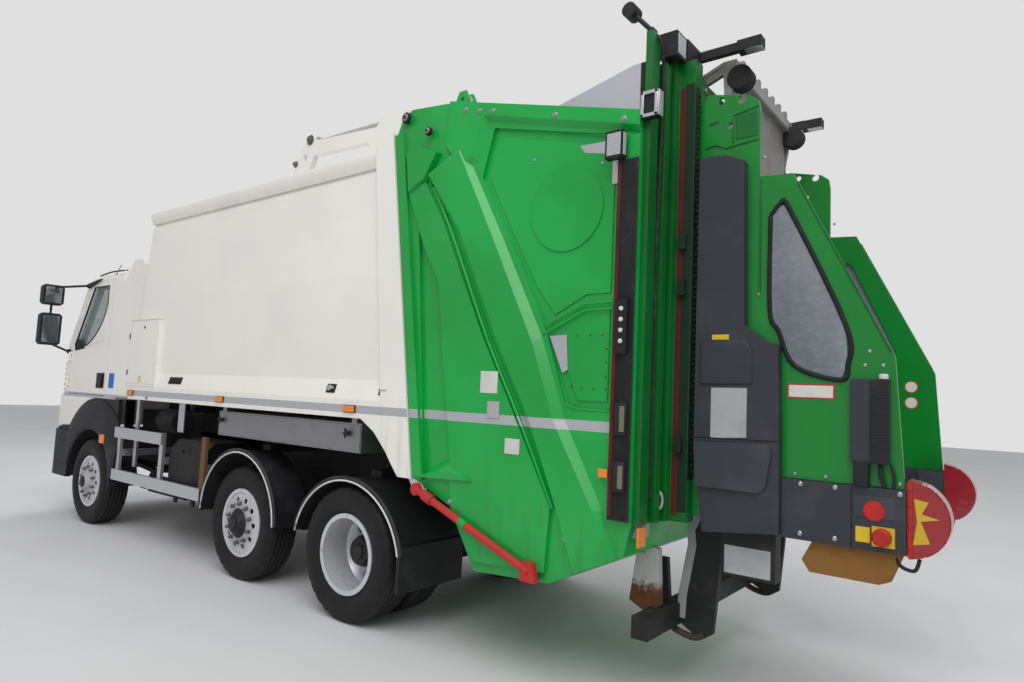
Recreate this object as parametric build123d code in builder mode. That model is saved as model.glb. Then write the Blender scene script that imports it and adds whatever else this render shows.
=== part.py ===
from build123d import *
import math
import os

os.makedirs("parts", exist_ok=True)

# A three-axle garbage truck: day cab, hopper tailgate hinged at the top of the body, bin lift at the rear.
# +X forward, +Y to the left, +Z up, millimetres, origin on the ground below the middle of the box.

# Driving dimensions
front_reach = 6130          # drive axle to the bumper's face
rear_reach = 3785           # drive axle to the rear lamps' face
pusher_gap = 1530           # drive axle to pusher axle
steer_gap = 3330            # pusher axle to front axle
tyre_radius = 495
tyre_width = 292
body_half = 1250            # half width over the body's skirt and posts
cab_half = 1140
shield_half = 820           # half width over the lift's side shields
rail_top = 960              # top of the chassis rails
cab_floor = 1480            # underside of the cab
body_floor = 1510           # lower edge of the body
body_roof = 3600
tail_low = 615              # lowest edge of the tailgate
tail_rise = 3200            # from there to the top of its hinge arms
tail_length = 2000          # from its rear face to the hinge arms' front
tail_inset = 35             # how far its side walls stand in from the body's skirt
hinge_station = -430        # tailgate hinge, from the drive axle
hinge_height = 3750

tail_open = body_half - tail_inset      # outer face of the tailgate's side walls
drive_x = (rear_reach - front_reach) / 2
pusher_x = drive_x + pusher_gap
front_x = pusher_x + steer_gap
hinge_x = drive_x + hinge_station
overrun = 400               # how far a cutting shape runs past what it cuts
running_gap = 0.3           # between a shaft and its bore
seat_gap = 0.3              # between curved faces that seat on each other
swing_gap = 8               # between pieces that move past each other
SIDES = (("left", 1), ("right", -1))


def finish(piece, name):
    piece.part.label = name
    export_step(piece.part, "parts/" + name + ".step")


def spread(shares, x_range, z_range):
    """points of an outline, given as shares of a box's length and height"""
    return [(x_range[0] + u * (x_range[1] - x_range[0]), z_range[0] + v * (z_range[1] - z_range[0]))
            for u, v in shares]


def side_plate(points, inner, outer, mode=Mode.ADD):
    """an outline in X and Z, filled between two places along Y"""
    with BuildSketch(Plane.XZ.offset(-outer)) as outline:
        with BuildLine():
            Polyline(*points, close=True)
        make_face()
    extrude(outline.sketch, amount=outer - inner, mode=mode)


def raised_form(foot, crest, low, high, sign):
    """a form that narrows from its foot's outline to its crest's, standing out along Y on one side"""
    faces = []
    for points, place in ((foot, low), (crest, high)):
        with BuildSketch(Plane.XZ.offset(-sign * place), mode=Mode.PRIVATE) as outline:
            with BuildLine():
                Polyline(*points, close=True)
            make_face()
        faces.append(outline.sketch.faces()[0])
    loft(faces, ruled=True)


def cross_plate(points, rear, front, mode=Mode.ADD):
    """an outline in Y and Z, filled between two places along X"""
    with BuildSketch(Plane.YZ.offset(rear)) as outline:
        with BuildLine():
            Polyline(*points, close=True)
        make_face()
    extrude(outline.sketch, amount=front - rear, mode=mode)


def flat_plate(points, bottom, top, mode=Mode.ADD):
    """an outline in X and Y, filled between two heights"""
    with BuildSketch(Plane.XY.offset(bottom)) as outline:
        with BuildLine():
            Polyline(*points, close=True)
        make_face()
    extrude(outline.sketch, amount=top - bottom, mode=mode)


def block(x_range, y_range, z_range, mode=Mode.ADD):
    """a box between its lowest and highest corners"""
    spans = (x_range, y_range, z_range)
    with Locations(tuple((low + high) / 2 for low, high in spans)):
        Box(*(high - low for low, high in spans), mode=mode)


def bar(start, end, radius, mode=Mode.ADD):
    """a round bar between two points"""
    run = Vector(*end) - Vector(*start)
    with BuildSketch(Plane(origin=start, z_dir=run)) as section:
        Circle(radius)
    extrude(section.sketch, amount=run.length, mode=mode)


def cross_pin(x, z, inner, outer, radius, mode=Mode.ADD):
    """a round pin or hole along Y"""
    with BuildSketch(Plane.XZ.offset(-outer)) as section:
        with Locations((x, z)):
            Circle(radius)
    extrude(section.sketch, amount=outer - inner, mode=mode)


def turned(points, x, z, mode=Mode.ADD):
    """a half section of Y and radius, turned about a wheel's axis"""
    with BuildSketch(Plane.YZ.offset(x)) as section:
        with BuildLine():
            Polyline(*[(y, z + r) for y, r in points], close=True)
        make_face()
    revolve(section.sketch, axis=Axis((x, 0, z), (0, 1, 0)), mode=mode)


def strap(points, thickness):
    """closes an open outline into a strap of one thickness, offset to its left"""
    inner = []
    for index, (x, z) in enumerate(points):
        before = points[max(index - 1, 0)]
        after = points[min(index + 1, len(points) - 1)]
        length = math.hypot(after[0] - before[0], after[1] - before[1])
        inner.append((x - thickness * (after[1] - before[1]) / length,
                      z + thickness * (after[0] - before[0]) / length))
    return list(points) + inner[::-1]


def arc_points(x, z, radius, first, last, steps):
    """points round an arc, angles in degrees from +X towards +Z"""
    angles = [first + (last - first) * step / steps for step in range(steps + 1)]
    return [(x + radius * math.cos(math.radians(a)), z + radius * math.sin(math.radians(a))) for a in angles]


# Chassis frame
rail_outer = 430
rail_height = 260
rail_wall = 90
frame_front_station = 5800
frame_front = drive_x + frame_front_station
frame_rear_station = 660
frame_rear = drive_x - frame_rear_station
cross_depth = 120
cross_thick = 80
cab_mount_stations = (4500, 5740)
cross_stations = (5500, 4250, 3300, 2400, 900, -600)
sub_outer = 480             # subframe between the chassis rails and the body's floor
sub_wall = 160
sub_front_station = 3600
sub_front = drive_x + sub_front_station
sub_rear_station = 500
sub_rear = drive_x - sub_rear_station
sub_cross_stations = (3300, 2300, 1300, 300, -420)
sub_cross_half = 760
with BuildPart() as chassis_frame:
    for _, sign in SIDES:
        low, high = sorted((sign * rail_outer, sign * (rail_outer - rail_wall)))
        block((frame_rear, frame_front), (low, high), (rail_top - rail_height, rail_top))
    for station in cross_stations:
        block((drive_x + station - cross_thick / 2, drive_x + station + cross_thick / 2),
              (rail_wall - rail_outer, rail_outer - rail_wall),
              (rail_top - rail_height / 2 - cross_depth / 2, rail_top - rail_height / 2 + cross_depth / 2))
    for _, sign in SIDES:
        low, high = sorted((sign * rail_outer, sign * (rail_outer - rail_wall)))
        for station in cab_mount_stations:
            block((drive_x + station - cross_thick / 2, drive_x + station + cross_thick / 2), (low, high), (rail_top, cab_floor))
        low, high = sorted((sign * sub_outer, sign * (sub_outer - sub_wall)))
        block((sub_rear, sub_front), (low, high), (rail_top, body_floor))
    for station in sub_cross_stations:
        block((drive_x + station - cross_thick / 2, drive_x + station + cross_thick / 2),
              (-sub_cross_half, sub_cross_half), (body_floor - cross_depth, body_floor))
finish(chassis_frame, "chassis_frame")

# Engine and gearbox, one plain block each
engine_rear_station = 4350
engine_rear = drive_x + engine_rear_station
engine_front_station = 5450
engine_front = drive_x + engine_front_station
engine_half = 330
engine_low = 600
engine_high = 1330
engine_mount = 120
gearbox_high = 760
gearbox_rear_station = 3400
gearbox_rear = drive_x + gearbox_rear_station
gearbox_half = 240
gearbox_low = 560
with BuildPart() as engine_block:
    block((engine_rear, engine_front), (-engine_half, engine_half), (engine_low, engine_high))
    for place in (engine_rear + engine_mount, engine_front - 2 * engine_mount):
        block((place, place + engine_mount), (rail_wall - rail_outer, rail_outer - rail_wall),
              (rail_top - engine_mount, rail_top - engine_mount / 2))
    block((gearbox_rear, engine_rear), (-gearbox_half, gearbox_half), (gearbox_low, gearbox_high))
finish(engine_block, "engine_block")

# Wheels: single wheels with a convex disc on the steered axles, twin wheels with a dished disc behind
rim_half = 125
flange_radius = 298
bead_radius = 286
flange_width = 12
barrel_radius = 264
disc_thick = 15
single_y = 1030             # middle of a single tyre
twin_y = 915                # middle of a twin pair
twin_offset = 170           # from there to each tyre's middle
spindle_radius = 42
spindle_end = 1170
hub_radius = 118
hub_inner = 1072
hub_face = 1225
cap_wall = 40
hand_holes = 10
hand_hole_radius = 24
hand_hole_ring = 205
# columns: share of the tyre's half width, share of its height above the bead
tyre_shares = ((0.77, 0.06), (1.00, 0.42), (0.97, 0.76), (0.84, 0.96), (0.70, 1.00))


def tyre_section(middle):
    half = tyre_width / 2
    bead = bead_radius + seat_gap
    inside = rim_half - flange_width - seat_gap
    side = [(inside, bead), (inside, flange_radius + seat_gap)]
    side += [(half * u, bead + (tyre_radius - bead) * v) for u, v in tyre_shares]
    return [(middle + y, r) for y, r in side] + [(middle - y, r) for y, r in side[::-1]]


def rim_section(middle):
    lip = rim_half - flange_width
    outer = [(rim_half, flange_radius), (lip, flange_radius), (lip, bead_radius)]
    ring = outer + [(-y, r) for y, r in outer[::-1]]
    return [(middle + y, r) for y, r in ring + [(-rim_half, barrel_radius), (rim_half, barrel_radius)]]


def hand_hole_ring_cut(x, inner, outer):
    for turn in range(hand_holes):
        angle = math.radians(360 / hand_holes * turn)
        cross_pin(x + hand_hole_ring * math.cos(angle), tyre_radius + hand_hole_ring * math.sin(angle),
                  inner, outer, hand_hole_radius, mode=Mode.SUBTRACT)


bore = spindle_radius + running_gap
disc_outer = single_y + rim_half - flange_width
single_disc = [(disc_outer, barrel_radius + disc_thick / 2), (disc_outer - disc_thick, barrel_radius + disc_thick / 2),
               (disc_outer + disc_thick, hub_radius + disc_thick), (hub_inner, hub_radius), (hub_inner, bore),
               (spindle_end + swing_gap, bore), (spindle_end + swing_gap, 0), (hub_face, 0),
               (hub_face, hub_radius - cap_wall), (hub_face - cap_wall, hub_radius),
               (disc_outer + 2 * disc_thick, hub_radius + disc_thick)]
for axle, axle_x in (("front", front_x), ("pusher", pusher_x)):
    with BuildPart() as wheel_left:
        turned(rim_section(single_y), axle_x, tyre_radius)
        turned(single_disc, axle_x, tyre_radius)
        hand_hole_ring_cut(axle_x, single_y, disc_outer + 3 * disc_thick)
    finish(wheel_left, "wheel_" + axle + "_left")
    with BuildPart() as wheel_right:
        mirror(wheel_left.part, about=Plane.XZ)
    finish(wheel_right, "wheel_" + axle + "_right")
    with BuildPart() as tyre_left:
        turned(tyre_section(single_y), axle_x, tyre_radius)
    finish(tyre_left, "tyre_" + axle + "_left")
    with BuildPart() as tyre_right:
        mirror(tyre_left.part, about=Plane.XZ)
    finish(tyre_right, "tyre_" + axle + "_right")

axle_tube = 62              # radius of the drive axle's ends
twin_hub_outer_offset = 125
twin_hub_outer = twin_y + twin_hub_outer_offset
twin_hub_inner_offset = 60
twin_hub_inner = twin_y - twin_hub_inner_offset
twin_cap_offset = 165
twin_cap = twin_y + twin_cap_offset
disc_run = 60               # how far the dished discs reach out to their barrels
twin_bore = axle_tube + running_gap
twin_disc = [(0, twin_bore), (disc_thick, twin_bore), (disc_thick, hand_hole_ring + disc_thick),
             (disc_run + disc_thick, barrel_radius + disc_thick / 2), (disc_run, barrel_radius + disc_thick / 2),
             (0, hand_hole_ring + disc_thick)]
twin_hub = [(twin_hub_inner, twin_bore), (twin_hub_inner, hub_radius), (twin_hub_outer, hub_radius),
            (twin_cap, hub_radius - cap_wall / 2), (twin_cap, 0), (twin_hub_outer + swing_gap, 0),
            (twin_hub_outer + swing_gap, twin_bore)]
with BuildPart() as wheel_drive_left:
    for middle in (twin_y - twin_offset, twin_y + twin_offset):
        turned(rim_section(middle), drive_x, tyre_radius)
    turned([(twin_y + y, r) for y, r in twin_disc], drive_x, tyre_radius)
    turned([(twin_y - y, r) for y, r in twin_disc], drive_x, tyre_radius)
    turned(twin_hub, drive_x, tyre_radius)
    hand_hole_ring_cut(drive_x, twin_y - disc_run, twin_y + disc_run)
finish(wheel_drive_left, "wheel_drive_left")
with BuildPart() as wheel_drive_right:
    mirror(wheel_drive_left.part, about=Plane.XZ)
finish(wheel_drive_right, "wheel_drive_right")
with BuildPart() as tyre_drive_left:
    for middle in (twin_y - twin_offset, twin_y + twin_offset):
        turned(tyre_section(middle), drive_x, tyre_radius)
finish(tyre_drive_left, "tyres_drive_left")
with BuildPart() as tyre_drive_right:
    mirror(tyre_drive_left.part, about=Plane.XZ)
finish(tyre_drive_right, "tyres_drive_right")

# Steered axles: a cranked beam with an eye at each end, and a knuckle that turns about the kingpin there
kingpin_y = 830
kingpin_radius = 25
eye_radius = 60
eye_half = 70
ear_half = 112
ear_gap = 5
beam_half = 50
beam_depth = 110
beam_drop = 85
beam_crank = 620            # where the beam starts to drop towards its middle
beam_flat = 520
upright_inner_offset = 72
upright_inner = kingpin_y + upright_inner_offset
upright_outer_offset = 102
upright_outer = kingpin_y + upright_outer_offset
upright_half = 58
back_plate_radius = 215
back_plate_thick = 22
spring_y = 385              # middle of the springs, under the chassis rails
spring_half_width = 38
spring_reach = 760
spring_thick = 48
spring_sag = 105
# columns: share of the spring's reach, share of its sag below the rail
spring_shares = ((-1, 0), (-0.55, 0.62), (0, 1), (0.55, 0.62), (1, 0))
bellows_radius = 125
bellows_reach = 380
arm_depth = 90
rail_low = rail_top - rail_height


def steered_beam(x):
    """the beam of a steered axle, with its two kingpin eyes"""
    top = tyre_radius + beam_depth / 2
    half = [(kingpin_y, top), (beam_crank, top), (beam_flat, top - beam_drop)]
    upper = half + [(-y, z) for y, z in half[::-1]]
    cross_plate(upper + [(y, z - beam_depth) for y, z in upper[::-1]], x - beam_half, x + beam_half)
    for _, sign in SIDES:
        bar((x, sign * kingpin_y, tyre_radius - eye_half), (x, sign * kingpin_y, tyre_radius + eye_half), eye_radius)
    for _, sign in SIDES:
        bar((x, sign * kingpin_y, tyre_radius - eye_half - overrun),
            (x, sign * kingpin_y, tyre_radius + eye_half + overrun), kingpin_radius + running_gap, mode=Mode.SUBTRACT)


with BuildPart() as steered_axles:
    steered_beam(front_x)
    beam_top = tyre_radius + beam_depth / 2 - beam_drop
    for _, sign in SIDES:
        low, high = sorted((sign * (spring_y - spring_half_width), sign * (spring_y + spring_half_width)))
        leaf = [(front_x + spring_reach * u, rail_low - spring_sag * v) for u, v in spring_shares]
        side_plate(strap(leaf[::-1], spring_thick), low, high)
        block((front_x - beam_half, front_x + beam_half), (low, high),
              (beam_top - spring_thick, rail_low - spring_sag - spring_thick / 2))
    steered_beam(pusher_x)
    for _, sign in SIDES:
        low, high = sorted((sign * (spring_y - spring_half_width), sign * (spring_y + spring_half_width)))
        block((pusher_x - bellows_reach, pusher_x + bellows_reach), (low, high), (beam_top - arm_depth / 2, beam_top + arm_depth / 2))
        for end in (-1, 1):
            place = pusher_x + end * (bellows_reach - bellows_radius)
            bar((place, sign * spring_y, beam_top), (place, sign * spring_y, rail_low), bellows_radius)
finish(steered_axles, "steered_axles")

for axle, axle_x in (("front", front_x), ("pusher", pusher_x)):
    with BuildPart() as knuckle_left:
        bar((axle_x, kingpin_y, tyre_radius - ear_half), (axle_x, kingpin_y, tyre_radius + ear_half), kingpin_radius)
        for end in (-1, 1):
            low, high = sorted((tyre_radius + end * (eye_half + ear_gap), tyre_radius + end * ear_half))
            bar((axle_x, kingpin_y, low), (axle_x, kingpin_y, high), upright_half)
            block((axle_x - upright_half, axle_x + upright_half), (kingpin_y, upright_outer), (low, high))
        block((axle_x - upright_half, axle_x + upright_half), (upright_inner, upright_outer),
              (tyre_radius - ear_half, tyre_radius + ear_half))
        cross_pin(axle_x, tyre_radius, upright_outer - back_plate_thick, upright_outer, back_plate_radius)
        cross_pin(axle_x, tyre_radius, upright_inner, spindle_end, spindle_radius)
    finish(knuckle_left, "knuckle_" + axle + "_left")
    with BuildPart() as knuckle_right:
        mirror(knuckle_left.part, about=Plane.XZ)
    finish(knuckle_right, "knuckle_" + axle + "_right")

# Drive axle with its casing, trailing arms, air springs and the propeller shaft forward to the gearbox
casing_radius = 78
bowl_radius = 215
bowl_half = 190
bowl_edge = 120
nose_radius = 95
nose_reach = 420
shaft_radius = 48
arm_z_offset = 60
arm_z = tyre_radius - arm_z_offset
with BuildPart() as drive_axle:
    cross_pin(drive_x, tyre_radius, -twin_hub_inner + swing_gap, twin_hub_inner - swing_gap, casing_radius)
    cross_pin(drive_x, tyre_radius, -twin_hub_outer, twin_hub_outer, axle_tube)
    turned([(-bowl_half, 0), (-bowl_half, casing_radius), (-bowl_edge, bowl_radius), (bowl_edge, bowl_radius),
            (bowl_half, casing_radius), (bowl_half, 0)], drive_x, tyre_radius)
    bar((drive_x, 0, tyre_radius), (drive_x + nose_reach, 0, tyre_radius + shaft_radius), nose_radius)
    bar((drive_x + nose_reach - nose_radius, 0, tyre_radius + shaft_radius),
        (gearbox_rear - swing_gap, 0, (gearbox_low + gearbox_high) / 2), shaft_radius)
    for _, sign in SIDES:
        low, high = sorted((sign * (spring_y - spring_half_width), sign * (spring_y + spring_half_width)))
        block((drive_x - bellows_reach, drive_x + bellows_reach), (low, high), (arm_z - arm_depth / 2, arm_z + arm_depth / 2))
        for end in (-1, 1):
            place = drive_x + end * (bellows_reach - bellows_radius)
            bar((place, sign * spring_y, arm_z), (place, sign * spring_y, rail_low), bellows_radius)
finish(drive_axle, "drive_axle")

# Cab: a hollow shell with its door and windscreen openings cut
cab_rear_station = 4410
cab_rear = drive_x + cab_rear_station
cab_front_station = 6060
cab_front = drive_x + cab_front_station
cab_roof = 3015
cab_wall = 60
cab_corner = 150            # how far the front corners are cut back in plan
roof_corner = 110
screen_top_station = 5400
screen_top = (drive_x + screen_top_station, 2960)
screen_foot_station = 5970
screen_foot = (drive_x + screen_foot_station, 2050)
nose_top_station = 6035
nose_top = (drive_x + nose_top_station, 1940)
rear_round = 70
cab_outline = [(cab_rear, cab_floor), (cab_rear, cab_roof - 2 * rear_round), (cab_rear + rear_round, cab_roof - rear_round / 2),
               (cab_rear + 4 * rear_round, cab_roof), (screen_top[0] - 2 * rear_round, cab_roof), screen_top, screen_foot,
               nose_top, (cab_front, cab_floor)]
cavity_outline = [(cab_rear + cab_wall, cab_floor + cab_wall), (cab_rear + cab_wall, cab_roof - 2 * rear_round - cab_wall / 2),
                  (cab_rear + 4 * rear_round, cab_roof - cab_wall), (screen_top[0] - 2 * rear_round, cab_roof - cab_wall),
                  (screen_top[0] - cab_wall, screen_top[1] - cab_wall), (screen_foot[0] - cab_wall, screen_foot[1] - cab_wall / 2),
                  (nose_top[0] - cab_wall, nose_top[1] - cab_wall / 2), (cab_front - cab_wall, cab_floor + cab_wall)]
door_rear_station = 4690
door_rear = drive_x + door_rear_station
door_front_station = 5815
door_front = drive_x + door_front_station
door_low = 1510
door_high = 2930
door_slope_foot = 2080
door_top_share = 0.5244
door_outline = [(door_rear, door_low), (door_rear, door_high), (door_rear + door_top_share * (door_front - door_rear), door_high),
                (door_front, door_slope_foot), (door_front, door_low)]
door_window_shares = ((0.1156, 0.4824), (0.1156, 0.9437), (0.4889, 0.9437), (0.8889, 0.4577), (0.8889, 0.4049))
door_window = spread(door_window_shares, (door_rear, door_front), (door_low, door_high))
screen_half = 980
screen_margin_share = 0.06
screen_glass = 10
screen_run = (screen_foot[0] - screen_top[0], screen_foot[1] - screen_top[1])
screen_length = math.hypot(*screen_run)
screen_normal = (-screen_run[1] / screen_length, screen_run[0] / screen_length)


def screen_band(inner, outer, margin=0):
    """the windscreen's opening or pane in side view, between two depths along its normal"""
    first = screen_margin_share + margin / screen_length
    ends = [(screen_top[0] + screen_run[0] * u, screen_top[1] + screen_run[1] * u) for u in (first, 1 - first)]
    near = [(x + screen_normal[0] * inner, z + screen_normal[1] * inner) for x, z in ends]
    far = [(x + screen_normal[0] * outer, z + screen_normal[1] * outer) for x, z in ends]
    return near + far[::-1]


door_gap = 6
hinge_heights = (1640, 1960)    # foot of each knuckle on the pillar
hinge_tall = 55
hinge_radius = 15
hinge_pin = 8
hinge_reach = 40
hinge_leaf = 12
hinge_y = cab_half + hinge_radius
door_hinge_x = door_front - door_gap / 2
fairing_front_low_station = 3900
fairing_front_low = drive_x + fairing_front_low_station
fairing_top = 3110
fairing_wall = 45
fairing_top_shares = (0.549, 0.1765, 0.0392)    # along it, where its top begins, ends and its corner is
fairing_stops = [fairing_front_low + share * (cab_rear - fairing_front_low) for share in fairing_top_shares]
fairing_outline = [(cab_rear, door_low), (cab_rear, cab_roof - 2 * rear_round), (fairing_stops[0], fairing_top),
                   (fairing_stops[1], fairing_top), (fairing_stops[2], fairing_top - rear_round), (fairing_front_low, door_low)]
with BuildPart() as cab_shell:
    side_plate(cab_outline, -cab_half, cab_half)
    flat_plate([(cab_rear, -cab_half), (cab_front - cab_corner, -cab_half), (cab_front - cab_corner / 3, -cab_half + cab_corner / 3),
                (cab_front, -cab_half + cab_corner), (cab_front, cab_half - cab_corner),
                (cab_front - cab_corner / 3, cab_half - cab_corner / 3), (cab_front - cab_corner, cab_half), (cab_rear, cab_half)],
               cab_floor, cab_roof, mode=Mode.INTERSECT)
    cross_plate([(-cab_half, cab_floor), (cab_half, cab_floor), (cab_half, cab_roof - roof_corner),
                 (cab_half - roof_corner / 3, cab_roof - roof_corner / 3), (cab_half - roof_corner, cab_roof),
                 (roof_corner - cab_half, cab_roof), (roof_corner / 3 - cab_half, cab_roof - roof_corner / 3),
                 (-cab_half, cab_roof - roof_corner)], cab_rear, cab_front, mode=Mode.INTERSECT)
    side_plate(cavity_outline, cab_wall - cab_half, cab_half - cab_wall, mode=Mode.SUBTRACT)
    side_plate(screen_band(-overrun / 2, overrun), -screen_half, screen_half, mode=Mode.SUBTRACT)
    for _, sign in SIDES:
        low, high = sorted((sign * (cab_half - cab_wall), sign * (cab_half + overrun)))
        side_plate(door_outline, low, high, mode=Mode.SUBTRACT)
        low, high = sorted((sign * cab_half, sign * (cab_half - fairing_wall)))
        side_plate(fairing_outline, low, high)
        for height in hinge_heights:
            low, high = sorted((sign * (cab_half - hinge_leaf), sign * hinge_y))
            block((door_hinge_x, door_hinge_x + hinge_reach), (low, high), (height, height + hinge_tall))
            bar((door_hinge_x, sign * hinge_y, height), (door_hinge_x, sign * hinge_y, height + hinge_tall), hinge_radius)
            bar((door_hinge_x, sign * hinge_y, height - overrun / 8), (door_hinge_x, sign * hinge_y, height + hinge_tall + overrun / 8),
                hinge_pin + running_gap, mode=Mode.SUBTRACT)
finish(cab_shell, "cab_shell")

with BuildPart() as windscreen:
    side_plate(screen_band(-screen_glass - seat_gap, -seat_gap, seat_gap), seat_gap - screen_half, screen_half - seat_gap)
finish(windscreen, "windscreen")

door_thick = 56
pane_thick = 6
pane_depth = 30             # how far a door's pane stands in from its skin


def inset_plate(points, gap, inner, outer, mode=Mode.ADD):
    """a side plate whose outline is moved inwards by a gap"""
    with BuildSketch(Plane.XZ.offset(-outer)) as outline:
        with BuildLine():
            Polyline(*points, close=True)
        make_face()
        offset(amount=-gap, kind=Kind.INTERSECTION)
    extrude(outline.sketch, amount=outer - inner, mode=mode)


with BuildPart() as cab_door_left:
    inset_plate(door_outline, door_gap, cab_half - door_thick, cab_half)
    side_plate(door_window, cab_half - door_thick - overrun, cab_half + overrun, mode=Mode.SUBTRACT)
    for height in hinge_heights:
        bar((door_hinge_x, hinge_y, height - hinge_tall / 2), (door_hinge_x, hinge_y, height + 3 * hinge_tall / 2), hinge_pin)
        for low, high in ((height - hinge_tall / 2, height - seat_gap), (height + hinge_tall + seat_gap, height + 3 * hinge_tall / 2)):
            bar((door_hinge_x, hinge_y, low), (door_hinge_x, hinge_y, high), hinge_radius)
            block((door_hinge_x - hinge_reach, door_hinge_x), (cab_half - hinge_leaf, hinge_y), (low, high))
finish(cab_door_left, "cab_door_left")
with BuildPart() as cab_door_right:
    mirror(cab_door_left.part, about=Plane.XZ)
finish(cab_door_right, "cab_door_right")
with BuildPart() as door_glass_left:
    inset_plate(door_window, seat_gap, cab_half - pane_depth - pane_thick, cab_half - pane_depth)
finish(door_glass_left, "door_glass_left")
with BuildPart() as door_glass_right:
    mirror(door_glass_left.part, about=Plane.XZ)
finish(door_glass_right, "door_glass_right")

# Seats, and the dashboard with its steering wheel
cabin_floor = cab_floor + cab_wall
seat_x_station = 4760
seat_x = drive_x + seat_x_station
seat_length = 480
seat_half = 240
seat_y = 560
seat_base = 330
seat_thick = 130
seat_back = 720
dash_rear_station = 5560
dash_rear = drive_x + dash_rear_station
dash_top = 2010
dash_foot = 1720
dash_half = 1040
column_radius = 28
wheel_station = 5400
wheel_centre = (drive_x + wheel_station, seat_y, dash_top + seat_thick / 2)
steering_radius = 215
steering_tube = 16
column_foot = (wheel_centre[0] + seat_half, seat_y, dash_top - seat_thick / 2)
with BuildPart() as cab_interior:
    for _, sign in SIDES:
        low, high = sign * seat_y - seat_half, sign * seat_y + seat_half
        block((seat_x + seat_thick, seat_x + seat_length), (low + seat_thick / 2, high - seat_thick / 2), (cabin_floor, cabin_floor + seat_base))
        block((seat_x, seat_x + seat_length), (low, high), (cabin_floor + seat_base, cabin_floor + seat_base + seat_thick))
        side_plate([(seat_x, cabin_floor + seat_base + seat_thick), (seat_x + seat_thick, cabin_floor + seat_base + seat_thick),
                    (seat_x + seat_thick / 3, cabin_floor + seat_base + seat_back), (seat_x - seat_thick / 2, cabin_floor + seat_base + seat_back)],
                   low, high)
    side_plate([(dash_rear, dash_foot), (dash_rear, dash_top - cab_wall), (dash_rear + cab_wall, dash_top), (nose_top[0] - 2 * cab_wall - seat_gap, nose_top[1]),
                (cab_front - 2 * cab_wall, cabin_floor + cab_wall), (cab_front - 2 * cab_wall, cabin_floor), (cab_front - 3 * cab_wall, cabin_floor),
                (cab_front - 3 * cab_wall, dash_foot - cab_wall)], -dash_half, dash_half)
    bar(wheel_centre, column_foot, column_radius)
    with BuildSketch(Plane(origin=wheel_centre, z_dir=Vector(*column_foot) - Vector(*wheel_centre))) as rim_face:
        Circle(steering_radius)
        Circle(steering_radius - 2 * steering_tube, mode=Mode.SUBTRACT)
        Rectangle(2 * steering_radius - 2 * steering_tube, 2 * steering_tube)
    extrude(rim_face.sketch, amount=steering_tube)
finish(cab_interior, "cab_interior")

# Bumper, steps and front wheel arches, moulded in dark plastic
bumper_face = drive_x + front_reach
bumper_low = 480
bumper_top = 1050
bumper_corner = 220
bumper_wall = 60
bumper_half = 1190
arch_radius = 615
arch_wall = 30
arch_inner = 885
arch_outer = 1195
step_wall = 40
half_turn = 180
arch_steps = 14
step_from = 40              # angles between which the step's side follows the arch
step_steps = 8


def bumper_plan(gap):
    """the bumper's outline in plan, moved in from its face by a gap"""
    face, half, corner = bumper_face - gap, bumper_half - gap, bumper_corner - gap
    bend = [(face - corner + corner * math.sin(a), half - corner + corner * math.cos(a))
            for a in (0, math.pi / 6, math.pi / 3, math.pi / 2)]
    return bend + [(x, -y) for x, y in bend[::-1]]


bumper_rear = front_x + arch_radius + arch_wall / 2
step_front = cab_front - bumper_wall
with BuildPart() as cab_plastics:
    flat_plate([(bumper_rear, bumper_half)] + bumper_plan(0) + [(bumper_rear, -bumper_half), (bumper_rear, bumper_wall - bumper_half)]
               + bumper_plan(bumper_wall)[::-1] + [(bumper_rear, bumper_half - bumper_wall)], bumper_low, bumper_top)
    for _, sign in SIDES:
        low, high = sorted((sign * arch_inner, sign * arch_outer))
        side_plate(strap(arc_points(front_x, tyre_radius, arch_radius + arch_wall, 0, half_turn, arch_steps)[::-1], -arch_wall), low, high)
        low, high = sorted((sign * (cab_half - step_wall), sign * cab_half))
        side_plate([(cab_rear - 2 * rear_round, cab_floor), (step_front, cab_floor), (step_front, bumper_top)]
                   + [(bumper_rear, bumper_top)] + arc_points(front_x, tyre_radius, arch_radius + arch_wall / 2, step_from, half_turn - step_from, step_steps)
                   + [(cab_rear - 2 * rear_round, bumper_top)], low, high)
        block((frame_front, bumper_face - bumper_wall), sorted((sign * rail_outer, sign * (rail_outer - rail_wall))),
              (rail_low, rail_top))
finish(cab_plastics, "cab_plastics")

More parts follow.
